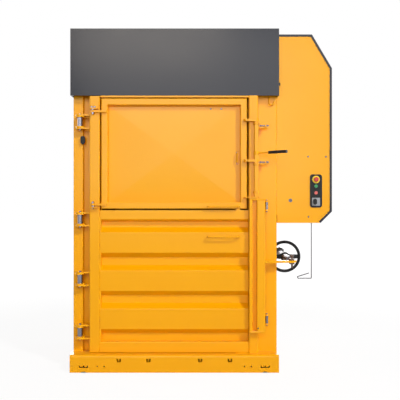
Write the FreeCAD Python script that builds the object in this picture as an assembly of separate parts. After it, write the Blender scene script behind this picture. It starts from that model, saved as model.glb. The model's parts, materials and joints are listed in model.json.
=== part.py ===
import FreeCAD, Part
import math
import os
from FreeCAD import Vector

# Vertical recycling baler. Millimetres, +Z up, front faces -Y.
# The origin is the centre of the base, on the floor.

# ------------------------------------------------------------------ driving dimensions
# Machine
base_height = 140.0
base_plate = 10.0
apron_round = 18.0
chamber_width = 1200.0
chamber_depth = 800.0
wall_plate = 6.0
floor_plate = 8.0
running_gap = 0.3
margin = 1.0
full_round = 0.48
swing_gap = 4.0
door_overlap = 5.0
jamb_overlap = 3.0
wall_front_gap = 3.0
floor_gap = 2.0

# Heights of the doors and of what lies above them
door_lift = 4.5
door_height = 1154.5
hatch_lift = 12.0
hatch_height = 896.0
post_rise = 19.0
hood_lift = 24.0
hood_height = 544.0
crosshead_height = 100.0

# Setbacks behind the front of the base
door_setback = 75.0
column_setback = 150.0
cabinet_setback = 190.0

# Strap lines, hand truck slots and anchor holes in the apron
strap_outer = 445.0
strap_inner = 207.0
strap_slot = 20.0
strap_hole_width = 35.0
strap_hole_height = 29.0
strap_hole_bottom = 83.0
tongue_top = 14.0
tongue_tip = 6.0
tongue_length = 19.0
channel_wall = 4.0
anchor_hole = 13.0
anchor_spacing = 54.0
anchor_inset = 249.0
anchor_height = 50.0
jack_inset = 111.0
jack_width = 72.0
jack_height = 20.0
jack_bottom = 38.0
notch_width = 48.0
notch_height = 8.0
rest_width = 98.0
rest_inset = 59.0
rest_length = 70.0
rest_lead = 8.0
rest_gap = 0.5

# Columns, jamb and walls
column_width = 232.0
column_depth = 125.0
column_wall = 8.0
section_round = 8.0
left_face = 83.0
groove_depth = 65.0
jamb_width = 75.0
jamb_wall = 6.0
rail_height = 73.0
rail_gap = 10.0
rail_end_gap = 3.0
rear_column_depth = 115.0
rib_depth = 100.0
rib_root = 200.0
rib_crest = 120.0
wall_rib_count = 6
lowest_rib_height = 330.0
wall_rib_pitch = 350.0

# Hood
hood_side_gap = 10.0
sheet = 3.0
hood_flange = 20.0
hood_overhang = 20.0

# Hydraulics
stroke = 1200.0
stages = 3
stage_overlap = 50.0
rod_radius = 45.0
stage_wall = 16.0
stage_step = 3.0
barrel_cap = 14.0
barrel_flange = 42.0
mount_flange = 60.0
crosshead_rail = 80.0
crosshead_wall = 8.0
platen_height = 125.0
platen_plate = 20.0
platen_wall = 8.0
platen_clearance = 15.0
platen_groove = 30.0
platen_groove_depth = 40.0
platen_rail = 70.0

# Main door
door_depth = 64.0
post_width = 84.0
post_wall = 6.0
top_beam = 75.0
bottom_beam = 86.0
door_sheet = 6.0
door_rib_count = 3
door_rib_pitch = 310.0
upper_rib_drop = 263.0
door_rib_face = 165.0
door_rib_slope = 40.0
door_rib_depth = 52.0
door_bend = 8.0
catch_width = 36.0
catch_gap = 0.6
catch_inset = 3.0
catch_depth = 40.0

# Main hinges
top_hinge_drop = 188.0
middle_hinge_drop = 73.0
lower_hinge_heights = [739.0, 308.0]
hinge_axis_out = 80.0
hinge_axis_setback = 102.0
hinge_plate = 10.0
hinge_ear_radius = 36.0
hinge_pin = 10.0
barrel_radius = 20.0
barrel_length = 74.0
hinge_pin_end = 9.0

# Hatch
hatch_frame_width = 52.0
hatch_frame_round = 6.0
hatch_depth = 60.0
hatch_recess = 50.0
hatch_panel_sheet = 4.0
hatch_panel_rise = 10.0
hatch_gap = 12.0
hatch_side_gap = 16.0
hatch_axis_inset = 51.0
hatch_axis_proud = 25.0
hatch_pin = 6.0
hatch_bracket_plate = 8.0
hatch_bracket_height = 30.0
hatch_bracket_edge = 9.0
hatch_strap_height = 16.0
hatch_strap_back = 2.0
hatch_eye = 14.0
hatch_upper_bracket_drop = 88.0
hatch_lower_bracket_rise = 8.0
hatch_spacer = 11.0
hatch_nut = 11.0
hatch_nut_height = 12.0
hatch_collar = 10.0
hatch_pin_head = 6.0
hatch_pin_tip = 5.0

# Pull rods and grab handle
pull_rod = 6.0
pull_length = 253.0
pull_inset = 204.5
pull_reach = 45.0
pull_bend = 16.0
door_pull_drop = 215.0
hatch_pull_rise = 19.0
grab_rod = 5.0
grab_length = 88.0
grab_reach = 34.0
grab_bend = 12.0
grab_inset = 76.0
grab_drop = 481.0

# Hatch latch on the jamb
latch_axis_inset = 58.0
latch_axis_proud = 22.0
latch_tube = 32.0
latch_tube_corner = 4.0
latch_journal = 16.0
latch_shaft_rise = 87.0
latch_shaft_drop = 167.0
latch_hook_drops = [189.0, 517.0]
latch_hook_height = 20.0
latch_small_hook_height = 10.0
latch_hook_reach = 102.0
latch_hook_back = 2.0
latch_hook_tip = 12.0
latch_hook_slope = 14.0
latch_hook_drop = 4.0
latch_hook_root = 30.0
latch_collar = 20.0
latch_lug_proud = 2.0
latch_lug_gap = 3.0
latch_bearing_drops = [213.0, 541.0, 767.0]
latch_bearing_plate = 10.0
latch_bearing_width = 46.0
latch_bearing_rim = 9.0
lever_drop = 446.0
lever_collar_height = 32.0
lever_angle = -40.0
lever_bar = 6.0
lever_length = 284.0
grip_radius = 12.0
grip_length = 162.0
grip_cap = 4.0
adjuster_drops = [221.0, 517.0]
adjuster_screw = 5.0
adjuster_length = 88.0
adjuster_nut = 10.0
adjuster_nut_width = 9.0
adjuster_plate = 8.0
adjuster_plate_height = 24.0
adjuster_plate_length = 84.0
adjuster_plate_drop = 30.0
adjuster_plate_rise = 6.0
adjuster_setback = 10.0
adjuster_screw_proud = 4.0
adjuster_first_lug = 4.0
adjuster_last_lug = 26.0
adjuster_lug_proud = 14.0
adjuster_lug_height = 24.0

# Door lock: lock bar, lever arm, spindle and handwheel
lock_axis_out = 18.0
lock_axis_setback = 90.0
lock_edge = 1.0
lock_width = 128.0
lock_lip = 25.0
lock_groove = 37.0
lock_groove_depth = 22.0
lock_proud = 35.0
lock_sheet = 7.0
lock_bend = 6.0
lock_bottom = 313.0
lock_rise = 95.0
lock_end_plate = 14.0
lock_end_proud = 3.0
lock_back_gap = 2.0
lock_pin = 7.0
lock_barrel_radius = 12.0
lock_barrel_length = 62.0
lock_hinge_drop = 59.0
lock_hinge_rise = 97.0
lock_ear_plate = 10.0
lock_ear_radius = 14.0
lock_pin_end = 8.0
arm_level = 880.0
arm_plate = 16.0
arm_half_width = 25.0
arm_tip_out = 120.0
arm_tip_setback = 110.0
arm_tip_reach = 34.0
arm_tip_half = 10.0
arm_root_half = 17.5
arm_shoulder = 40.0
arm_slot_back = 2.0
arm_slot_clearance = 0.8
arm_slot_length = 12.0
clevis_pin = 8.0
clevis_pin_above = 54.0
clevis_pin_below = 52.0
clevis_head = 13.0
clevis_head_height = 16.0
clevis_plate = 12.0
clevis_gap = 2.0
clevis_half_width = 18.0
clevis_throat = 38.0
clevis_web = 12.0
spindle_radius = 12.0
spindle_end_setback = 680.0
spindle_fit = 0.4
wheel_setback = 564.0
wheel_radius = 142.0
wheel_rim = 13.0
wheel_hub = 40.0
wheel_hub_length = 40.0
spoke_root = 44.0
spoke_end = 34.0
spoke_plate = 10.0
nut_tube_radius = 28.0
nut_tube_setback = 265.0
nut_tube_collar = 36.0
nut_tube_collar_width = 10.0
trunnion_setback = 930.0
trunnion_length = 60.0
trunnion_half = 38.0
fork_plate = 12.0
fork_eye = 30.0
fork_pin = 8.0
fork_pin_depth = 8.0
fork_pin_rise = 8.0
fork_foot_rim = 12.0
fork_root = 25.0

# Cabinet
cabinet_gap = 10.0
cabinet_width = 453.0
cabinet_drop = 18.0
cabinet_above_wheel = 169.5
cabinet_depth = 500.0
upper_chamfer_x = 166.0
upper_chamfer_z = 280.0
lower_chamfer_x = 95.0
lower_chamfer_z = 95.0
trim_width = 18.0
cabinet_rail_width = 40.0
cabinet_rail_rise = 68.5
cabinet_rail_setback = 4.0
cabinet_rail_gap = 4.0
panel_screw = 5.0
panel_screw_head = 2.0
panel_screw_insets = [(256.0, 550.5), (403.0, 550.5), (258.0, 50.5)]
panel_lock_inset = 109.0
panel_lock_rise = 187.5
lock_flange = 15.0
lock_flange_height = 3.0
lock_core = 9.0
lock_cam_length = 42.0
lock_cam_plate = 4.0
lock_slot_width = 3.0
lock_slot_depth = 1.5
lock_slot_length = 16.0

# Controls
plate_inset = 271.0
plate_rise = 128.5
plate_width = 100.0
plate_height = 275.0
plate_corner = 22.0
plate_thickness = 6.0
control_inset = 49.0
emergency_rise = 232.0
button_pitch = 55.0
selector_drop = 74.0
ring_radius = 31.0
ring_height = 5.0
mushroom_radius = 20.0
mushroom_height = 14.0
mushroom_gap = 3.0
mushroom_round = 6.3
emergency_travel = 5.0
stem_radius = 8.0
stem_length = 22.0
bezel_radius = 16.5
bezel_height = 5.0
button_radius = 13.5
button_height = 5.0
button_travel = 3.5
selector_square = 66.0
selector_plate = 4.0
selector_corner = 4.0
knob_width = 30.0
knob_length = 49.0
knob_height = 18.0
knob_offset = -10.0

# Inside the cabinet
tank_width = 300.0
tank_depth = 400.0
tank_height = 340.0
tank_setback = 60.0
tank_corner = 20.0
tank_lid = 6.0
tank_lid_edge = 10.0
motor_radius = 88.0
motor_height = 260.0
motor_inset = 20.0
motor_foot = 12.0
motor_cowl_step = 8.0
motor_cowl_height = 36.0
terminal_width = 80.0
terminal_depth = 30.0
terminal_bottom = 110.0
terminal_height = 80.0
valve_width = 105.0
valve_depth = 80.0
valve_height = 90.0
valve_inset = 10.0
valve_setback = 60.0
solenoid_radius = 14.0
solenoid_height = 60.0
solenoid_spacing = 36.0

# Small parts
switch_width = 36.0
switch_height = 66.0
switch_proud = 24.0
switch_inset = 81.0
switch_drop = 333.0
hook_rod = 6.0
hook_inset = 64.0
hook_reach = 20.0
hook_top_gap = 10.0
hook_drop = 56.0
hook_width = 38.0
hook_tip = 28.0
hook_bend = 17.0
needle_rod = 4.0
needle_inset = 289.0
needle_setback = 230.0
needle_drop = 464.0
needle_foot = 110.0
needle_return = 90.0
needle_rise = 44.0
needle_loop_back = 9.0
needle_loop_rise = 13.0
needle_bend = 5.0

# ------------------------------------------------------------------ places worked out
chamber_side = chamber_width / 2
wall_outer = chamber_side + wall_plate
base_side = wall_outer + column_width
base_depth = door_setback + door_depth + chamber_depth + wall_plate + rear_column_depth
base_front = -base_depth / 2
base_rear = base_depth / 2
door_front = base_front + door_setback
door_back = door_front + door_depth
chamber_rear = door_back + chamber_depth
chamber_middle_y = (door_back + chamber_rear) / 2
column_front = base_front + column_setback
column_rear = column_front + column_depth
rear_column_front = chamber_rear + wall_plate
rear_column_rear = base_rear
hood_side = base_side + hood_side_gap
hood_rear = base_rear + hood_overhang

door_bottom = base_height + door_lift
door_top = door_bottom + door_height
hatch_bottom = door_top + hatch_lift
hatch_top = hatch_bottom + hatch_height
post_top = hatch_top + post_rise
rail_bottom = hatch_top + rail_gap
hood_bottom = hatch_top + hood_lift
machine_top = hood_bottom + hood_height
crosshead_bottom = rail_bottom + rail_height + rail_gap
crosshead_top = crosshead_bottom + crosshead_height

door_left = -(chamber_side + door_overlap)
post_right = door_left - swing_gap
post_left = post_right - post_width
jamb_left = chamber_side + jamb_overlap
jamb_right = jamb_left + jamb_width
door_right = jamb_left - swing_gap
hatch_left = post_right + hatch_gap
hatch_right = jamb_left - hatch_side_gap
hatch_back = door_front + hatch_depth
panel_front = door_front + hatch_recess

strap_lines = [-strap_outer, -strap_inner, strap_inner, strap_outer]
anchor_centre = base_side - anchor_inset
jack_centre = base_side - jack_inset
rest_centre = door_right - rest_inset

hinge_axis_x = post_left - hinge_axis_out
hinge_axis_y = base_front + hinge_axis_setback
hinge_levels = [hatch_top - top_hinge_drop, door_top - middle_hinge_drop] + lower_hinge_heights
hatch_axis_x = post_right - hatch_axis_inset
hatch_axis_y = door_front - hatch_axis_proud
hatch_upper_bracket = hatch_top - hatch_upper_bracket_drop
hatch_lower_bracket = hatch_bottom + hatch_lower_bracket_rise
pull_centre = door_right - pull_inset
door_pull_height = door_top - door_pull_drop
hatch_pull_height = hatch_bottom + hatch_pull_rise
grab_x = hatch_right - grab_inset
grab_centre = hatch_top - grab_drop

latch_axis_x = jamb_left + latch_axis_inset
latch_axis_y = door_front - latch_axis_proud
latch_shaft_bottom = hatch_bottom + latch_shaft_rise
latch_shaft_top = hatch_top - latch_shaft_drop
latch_hook_levels = [hatch_top - drop for drop in latch_hook_drops]
latch_bearing_levels = [hatch_top - drop for drop in latch_bearing_drops]
lever_level = hatch_top - lever_drop
adjuster_levels = [hatch_top - drop for drop in adjuster_drops]
adjuster_front = door_front + adjuster_setback

lock_left = jamb_left - lock_edge
lock_right = lock_left + lock_width
lock_top = door_top + lock_rise
lock_axis_x = lock_right + lock_axis_out
lock_axis_y = base_front + lock_axis_setback
lock_hinge_levels = [lock_top - lock_hinge_drop, lock_bottom + lock_hinge_rise]
lock_front = door_front - lock_proud
lock_back = door_front - lock_back_gap
arm_tip_x = base_side + arm_tip_out
arm_tip_y = base_front + arm_tip_setback
wheel_y = base_front + wheel_setback
trunnion_y = base_front + trunnion_setback
trunnion_front = trunnion_y - trunnion_length / 2
trunnion_rear = trunnion_y + trunnion_length / 2

cabinet_left = base_side + cabinet_gap
cabinet_right = cabinet_left + cabinet_width
cabinet_top = machine_top - cabinet_drop
cabinet_bottom = arm_level + wheel_radius + cabinet_above_wheel
cabinet_front = base_front + cabinet_setback
cabinet_rear = cabinet_front + cabinet_depth
cabinet_rail_bottom = cabinet_bottom + cabinet_rail_rise
cabinet_panel_front = cabinet_front + sheet
panel_screw_places = [(cabinet_left + across, cabinet_bottom + up) for across, up in panel_screw_insets]
lock_place = (cabinet_left + panel_lock_inset, cabinet_bottom + panel_lock_rise)
plate_left = cabinet_left + plate_inset
plate_bottom = cabinet_bottom + plate_rise
control_front = cabinet_panel_front - plate_thickness
control_x = plate_left + control_inset
emergency_height = plate_bottom + emergency_rise
green_height = emergency_height - button_pitch
red_height = green_height - button_pitch
selector_height = red_height - selector_drop

switch_x = -base_side + switch_inset
switch_z = hatch_top - switch_drop
hook_x = base_side - hook_inset
needle_x = cabinet_left + needle_inset
stage_travel = stroke / stages
stage_length = stage_travel + stage_overlap


# ------------------------------------------------------------------ shape helpers
def box(x, y, z):
    """Block between two values on each axis."""
    return Part.makeBox(x[1] - x[0], y[1] - y[0], z[1] - z[0], Vector(x[0], y[0], z[0]))


def prism(points, axis, low, high):
    """Straight-sided outline pushed along one axis from low to high."""
    place = {
        "x": lambda a, b: Vector(low, a, b),
        "y": lambda a, b: Vector(a, low, b),
        "z": lambda a, b: Vector(a, b, low),
    }[axis]
    step = {"x": Vector(1, 0, 0), "y": Vector(0, 1, 0), "z": Vector(0, 0, 1)}[axis] * (high - low)
    outline = Part.makePolygon([place(a, b) for a, b in points + points[:1]])
    return Part.Face(outline).extrude(step)


def cylinder(radius, start, end):
    """Round bar between two points."""
    start, end = Vector(*start), Vector(*end)
    return Part.makeCylinder(radius, (end - start).Length, start, end - start)


def pipe(outer, inner, start, end):
    """Round tube between two points."""
    return cylinder(outer, start, end).cut(cylinder(inner, start, end))


def hexagon(radius, centre, axis, length):
    """Six-sided nut body along an axis, radius measured to its corners."""
    points = []
    for corner in range(6):
        turn = math.radians(60 * corner)
        points.append((radius * math.cos(turn), radius * math.sin(turn)))
    if axis == "x":
        points = [(centre[1] + a, centre[2] + b) for a, b in points]
        return prism(points, "x", centre[0], centre[0] + length)
    points = [(centre[0] + a, centre[1] + b) for a, b in points]
    return prism(points, "z", centre[2], centre[2] + length)


def join(*shapes):
    """Weld shapes into one body."""
    return shapes[0].multiFuse(list(shapes[1:])).removeSplitter()


def round_edges(shape, radius, axis, keep=lambda edge: True):
    """Round the straight edges that run along an axis."""
    direction = {"x": Vector(1, 0, 0), "y": Vector(0, 1, 0), "z": Vector(0, 0, 1)}[axis]
    edges = []
    for edge in shape.Edges:
        if len(edge.Vertexes) != 2 or edge.Curve.TypeId != "Part::GeomLine":
            continue
        along = (edge.Vertexes[1].Point - edge.Vertexes[0].Point).normalize()
        if abs(abs(along.dot(direction)) - 1) < 1e-6 and keep(edge):
            edges.append(edge)
    return shape.makeFillet(radius, edges)


def parallel_line(points, distance):
    """The same open line moved sideways, to the right of its direction."""
    normals = []
    for start, end in zip(points, points[1:]):
        length = math.hypot(end[0] - start[0], end[1] - start[1])
        normals.append(((end[1] - start[1]) / length, -(end[0] - start[0]) / length))
    moved = []
    for index, (a, b) in enumerate(points):
        before = normals[max(index - 1, 0)]
        after = normals[min(index, len(normals) - 1)]
        scale = distance / (1 + before[0] * after[0] + before[1] * after[1])
        moved.append((a + (before[0] + after[0]) * scale, b + (before[1] + after[1]) * scale))
    return moved


def folded(points, thickness):
    """Outline of a folded sheet whose outer face follows an open line."""
    return points + parallel_line(points, thickness)[::-1]


def inset(points, distance):
    """Closed clockwise outline moved inwards."""
    closed = parallel_line([points[-1]] + points + [points[0]], distance)
    return closed[1:-1]


def hollow_section(points, wall, low, high):
    """Upright hollow section of a clockwise plan outline."""
    return prism(points, "z", low, high).cut(prism(inset(points, wall), "z", low - margin, high + margin))


def rectangle(x, z):
    """Clockwise corner points of a rectangle."""
    return [(x[0], z[0]), (x[0], z[1]), (x[1], z[1]), (x[1], z[0])]


def bent_rod(points, radius, bend):
    """Round bar along straight runs, with an arc at each corner."""
    corners = [Vector(*point) for point in points]
    edges = []
    last = corners[0]
    for before, corner, after in zip(corners, corners[1:], corners[2:]):
        back = (before - corner).normalize()
        ahead = (after - corner).normalize()
        half_turn = (math.pi - back.getAngle(ahead)) / 2
        reach = bend * math.tan(half_turn)
        start = corner + back * reach
        end = corner + ahead * reach
        middle = corner + (back + ahead).normalize() * (bend / math.cos(half_turn) - bend)
        edges.append(Part.LineSegment(last, start).toShape())
        edges.append(Part.Arc(start, middle, end).toShape())
        last = end
    edges.append(Part.LineSegment(last, corners[-1]).toShape())
    section = Part.Wire(Part.makeCircle(radius, corners[0], corners[1] - corners[0]))
    return Part.Wire(edges).makePipeShell([section], True, False)


def rib_outline(side, middle):
    """Outer line of a hat-shaped wall rib: distance from the wall, height."""
    line = [
        (0, middle - rib_root / 2),
        (rib_depth, middle - rib_crest / 2),
        (rib_depth, middle + rib_crest / 2),
        (0, middle + rib_root / 2),
    ]
    inner = [
        (0, middle - rib_root / 2 + wall_plate),
        (rib_depth - wall_plate, middle - rib_crest / 2 + wall_plate / 2),
        (rib_depth - wall_plate, middle + rib_crest / 2 - wall_plate / 2),
        (0, middle + rib_root / 2 - wall_plate),
    ]
    return [(side(a), b) for a, b in line + inner[::-1]]


def wall_rib_heights():
    return [lowest_rib_height + wall_rib_pitch * index for index in range(wall_rib_count)]


# ------------------------------------------------------------------ base and floor
def strap_hole(x, y):
    """Rounded hole for a strap, between two depths."""
    hole = box(
        (x - strap_hole_width / 2, x + strap_hole_width / 2), y,
        (strap_hole_bottom, strap_hole_bottom + strap_hole_height),
    )
    low = strap_hole_bottom + strap_hole_height / 2
    return round_edges(hole, strap_hole_width / 4, "y", lambda edge: edge.CenterOfMass.z < low)


def strap_tongue(x):
    """Tapered tongue that hangs in the middle of a front strap hole."""
    top = strap_hole_bottom + strap_hole_height + margin
    tip = strap_hole_bottom + strap_hole_height - tongue_length
    points = [
        (x - tongue_top / 2, top), (x + tongue_top / 2, top),
        (x + tongue_tip / 2, tip), (x - tongue_tip / 2, tip),
    ]
    return prism(points, "y", base_front, base_front + base_plate)


def make_base_frame():
    """Welded pan: apron, top plate, side and rear plates, and the strap channels under the floor."""
    outer = box((-base_side, base_side), (base_front, base_rear), (0, base_height))
    outer = round_edges(
        outer, apron_round, "x",
        lambda edge: edge.CenterOfMass.y < base_front + margin and edge.CenterOfMass.z > base_height - margin,
    )
    pan = outer.cut(box(
        (-base_side + base_plate, base_side - base_plate),
        (base_front + base_plate, base_rear - base_plate),
        (-margin, base_height - base_plate),
    ))
    under_top = base_height - base_plate
    parts = [pan]
    cuts = []
    for x in strap_lines:
        half = strap_hole_width / 2
        parts.append(box(
            (x - half - channel_wall, x + half + channel_wall),
            (base_front + base_plate, base_rear - base_plate),
            (strap_hole_bottom - channel_wall, under_top),
        ))
        cuts.append(box(
            (x - half, x + half), (base_front + base_plate, base_rear - base_plate),
            (strap_hole_bottom, under_top),
        ))
        cuts.append(strap_hole(x, (base_front - margin, base_front + base_plate)))
        cuts.append(strap_hole(x, (base_rear - base_plate, base_rear + margin)))
        cuts.append(box(
            (x - strap_slot / 2, x + strap_slot / 2), (door_back, chamber_rear),
            (under_top - margin, base_height + margin),
        ))
    web = base_plate / 2
    parts.append(box((-web, web), (base_front + base_plate, base_rear - base_plate), (0, under_top)))
    for side in (-1, 1):
        middle = side * (chamber_side + wall_plate + web)
        parts.append(box((middle - web, middle + web),
                         (base_front + base_plate, base_rear - base_plate), (0, under_top)))
        jack = box(
            (side * jack_centre - jack_width / 2, side * jack_centre + jack_width / 2),
            (base_front - margin, base_front + base_plate + margin), (jack_bottom, jack_bottom + jack_height),
        )
        cuts.append(round_edges(jack, jack_height / 4, "y"))
        notch = [
            (side * jack_centre - notch_width / 2, -margin), (side * jack_centre + notch_width / 2, -margin),
            (side * jack_centre + notch_width / 2 - notch_height, notch_height),
            (side * jack_centre - notch_width / 2 + notch_height, notch_height),
        ]
        cuts.append(prism(notch, "y", base_front - margin, base_front + base_plate + margin))
        for shift in (-anchor_spacing / 2, anchor_spacing / 2):
            x = side * anchor_centre + shift
            cuts.append(cylinder(anchor_hole / 2, (x, base_front - margin, anchor_height),
                                 (x, base_front + base_plate + margin, anchor_height)))
    rest_top = base_height + door_lift - rest_gap
    rest = prism([
        (door_front - rest_length / 2, base_height), (door_front - rest_lead, rest_top),
        (door_front + rest_length / 2, rest_top),
        (door_front + rest_length / 2, base_height),
    ], "x", rest_centre - rest_width / 2, rest_centre + rest_width / 2)
    frame = join(*parts, rest)
    for cut in cuts:
        frame = frame.cut(cut)
    return join(frame, *[strap_tongue(x) for x in strap_lines])


def make_chamber_floor():
    """Wear plates on the base, one between each pair of strap slots."""
    edges = [-chamber_side + floor_gap] + strap_lines + [chamber_side - floor_gap]
    plates = []
    for index, (low, high) in enumerate(zip(edges, edges[1:])):
        low_gap = 0 if index == 0 else strap_slot / 2
        high_gap = 0 if index == len(edges) - 2 else strap_slot / 2
        plates.append(box((low + low_gap, high - high_gap), (door_back + floor_gap, chamber_rear - floor_gap),
                          (base_height, base_height + floor_plate)))
    return Part.makeCompound(plates)


# ------------------------------------------------------------------ walls and columns
def make_side_wall(side):
    """Chamber side plate with hat ribs between the front and rear columns."""
    front = door_back + wall_front_gap if side < 0 else column_front
    low, high = sorted((side * chamber_side, side * wall_outer))
    plate = box((low, high), (front, rear_column_front), (base_height, crosshead_bottom))
    ribs = []
    for height in wall_rib_heights():
        outline = rib_outline(lambda a: side * (wall_outer + a), height)
        ribs.append(prism(outline, "y", column_rear, rear_column_front))
    return join(plate, *ribs)


def make_back_wall():
    """Chamber back plate with hat ribs between the rear columns."""
    plate = box((-chamber_side, chamber_side), (chamber_rear, rear_column_front),
                (base_height, crosshead_bottom))
    ribs = []
    for height in wall_rib_heights():
        outline = rib_outline(lambda a: rear_column_front + a, height)
        ribs.append(prism(outline, "x", -chamber_side, chamber_side))
    return join(plate, *ribs)


def make_left_column():
    """Front column, stepped back beside the door post."""
    outline = [
        (-base_side, column_front), (-base_side, column_rear), (-wall_outer, column_rear),
        (-wall_outer, column_front + groove_depth), (-base_side + left_face, column_front + groove_depth),
        (-base_side + left_face, column_front),
    ]
    column = hollow_section(outline, column_wall, base_height, crosshead_top)
    return round_edges(column, section_round, "z", lambda edge: (
        edge.CenterOfMass.x < -base_side + margin or edge.CenterOfMass.y < column_front + margin))


def on_outer_side(edge):
    """Whether an upright edge lies on the outer face of a column."""
    return abs(edge.CenterOfMass.x) > base_side - margin


def make_right_column():
    outline = rectangle((wall_outer, base_side), (column_front, column_rear))
    column = hollow_section(outline, column_wall, base_height, crosshead_top)
    return round_edges(column, section_round, "z", on_outer_side)


def make_rear_columns():
    columns = []
    for low, high in ((-base_side, -chamber_side), (chamber_side, base_side)):
        outline = rectangle((low, high), (rear_column_front, rear_column_rear))
        column = hollow_section(outline, column_wall, base_height, crosshead_top)
        columns.append(round_edges(column, section_round, "z", on_outer_side))
    return Part.makeCompound(columns)


def make_right_jamb():
    """Fixed box section that stands forward in the plane of the door."""
    outline = rectangle((jamb_left, jamb_right), (door_front, column_front))
    jamb = hollow_section(outline, jamb_wall, base_height, hood_bottom)
    return round_edges(jamb, section_round, "z", lambda edge: edge.CenterOfMass.y < door_front + margin)


def make_front_rail():
    """Rail over the hatch, between the left wall and the jamb."""
    left = -wall_outer + rail_end_gap
    back = door_back + wall_front_gap
    outer = box((left, jamb_left), (door_front + sheet, back), (rail_bottom, rail_bottom + rail_height))
    wall = jamb_wall
    inner = box((left - margin, jamb_left + margin), (door_front + sheet + wall, back - wall),
                (rail_bottom + wall, rail_bottom + rail_height - wall))
    return outer.cut(inner)


def make_crosshead():
    """Ladder frame between the columns that carries the cylinder."""
    z = (crosshead_bottom, crosshead_top)
    wall = crosshead_wall
    front = box((-wall_outer, wall_outer), (column_rear - crosshead_rail, column_rear), z)
    rear = box((-chamber_side, chamber_side), (rear_column_front, rear_column_front + crosshead_rail), z)
    parts = [front, rear]
    reach = barrel_radius_outer() + mount_flange
    for side in (-1, 1):
        middle = side * (reach + crosshead_rail / 2)
        parts.append(box((middle - crosshead_rail / 2, middle + crosshead_rail / 2),
                         (column_rear, rear_column_front), z))
    parts.append(box((-reach, reach), (chamber_middle_y - reach, chamber_middle_y + reach),
                     (crosshead_top - 2 * wall, crosshead_top)))
    frame = join(*parts)
    return frame.cut(cylinder(barrel_radius_outer() + running_gap,
                              (0, chamber_middle_y, crosshead_bottom), (0, chamber_middle_y, crosshead_top)))


def make_hood():
    """Folded hood with closed back and a turned-in lower edge."""
    floor = (hood_bottom - margin, hood_bottom + sheet + margin)
    outer = box((-hood_side, hood_side), (door_front, hood_rear), (hood_bottom, machine_top))
    inner = box((-hood_side + sheet, hood_side - sheet), (door_front + sheet, hood_rear - sheet),
                (hood_bottom + sheet, machine_top - sheet))
    opening = box((-base_side, base_side), (door_front + hood_flange, hood_rear - hood_flange), floor)
    front_pass = box((-wall_outer, jamb_left), (door_front + sheet, column_front), floor)
    return outer.cut(inner).cut(opening).cut(front_pass)


# ------------------------------------------------------------------ hydraulics
def stage_radius(index):
    """Outer radius: 0 is the rod, then each sleeve outwards; the last is the barrel."""
    return rod_radius + index * (stage_wall + running_gap)


def barrel_radius_outer():
    return stage_radius(stages)


def make_cylinder_barrel():
    """Closed barrel with its mounting flange on the crosshead."""
    top = crosshead_bottom + stage_length + barrel_cap
    axis = (0, chamber_middle_y)
    body = cylinder(barrel_radius_outer(), (*axis, crosshead_bottom), (*axis, top))
    flange = cylinder(barrel_radius_outer() + barrel_flange,
                      (*axis, crosshead_top), (*axis, crosshead_top + barrel_cap))
    bore = cylinder(stage_radius(stages - 1) + running_gap, (*axis, crosshead_bottom - margin),
                    (*axis, top - barrel_cap))
    return join(body, flange).cut(bore)


def make_stage(index):
    """Telescopic sleeve, closed only by the pieces inside it."""
    axis = (0, chamber_middle_y)
    bottom = crosshead_bottom - stage_step * (stages - index)
    return pipe(stage_radius(index), stage_radius(index - 1) + running_gap,
                (*axis, bottom), (*axis, bottom + stage_length))


def make_piston_rod():
    axis = (0, chamber_middle_y)
    bottom = platen_top()
    return cylinder(rod_radius, (*axis, bottom), (*axis, bottom + stage_length))


def platen_top():
    return crosshead_bottom - stage_step * (stages + margin)


def platen_tube(x, y, z):
    """Box section of the platen, open at the ends of its longer side."""
    wall = platen_wall
    outer = box(x, y, z)
    if x[1] - x[0] > y[1] - y[0]:
        inner = box((x[0] - margin, x[1] + margin), (y[0] + wall, y[1] - wall), (z[0] + wall, z[1] - wall))
    else:
        inner = box((x[0] + wall, x[1] - wall), (y[0] - margin, y[1] + margin), (z[0] + wall, z[1] - wall))
    return outer.cut(inner)


def make_platen():
    """Press plate with hollow pads between the strap grooves and box-section stiffeners above."""
    top = platen_top()
    bottom = top - platen_height
    x = (-chamber_side + platen_clearance, chamber_side - platen_clearance)
    y = (door_back + platen_clearance, chamber_rear - platen_clearance)
    pad_top = bottom + platen_groove_depth
    slab_top = pad_top + platen_plate
    parts = [box(x, y, (pad_top, slab_top))]
    edges = [x[0] - platen_groove / 2] + strap_lines + [x[1] + platen_groove / 2]
    for low, high in zip(edges, edges[1:]):
        parts.append(platen_tube((low + platen_groove / 2, high - platen_groove / 2), y,
                                 (bottom, pad_top + platen_wall)))
    for middle in (y[0] + platen_rail / 2, y[1] - platen_rail / 2):
        parts.append(platen_tube(x, (middle - platen_rail / 2, middle + platen_rail / 2), (slab_top, top)))
    for middle in (x[0] + platen_rail / 2, -rod_radius - platen_rail, rod_radius + platen_rail,
                   x[1] - platen_rail / 2):
        parts.append(platen_tube((middle - platen_rail / 2, middle + platen_rail / 2),
                                 (y[0] + platen_rail, y[1] - platen_rail), (slab_top, top)))
    boss = cylinder(rod_radius + (platen_rail + platen_wall) / 2,
                    (0, chamber_middle_y, slab_top), (0, chamber_middle_y, top))
    return join(*parts, boss)


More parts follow.
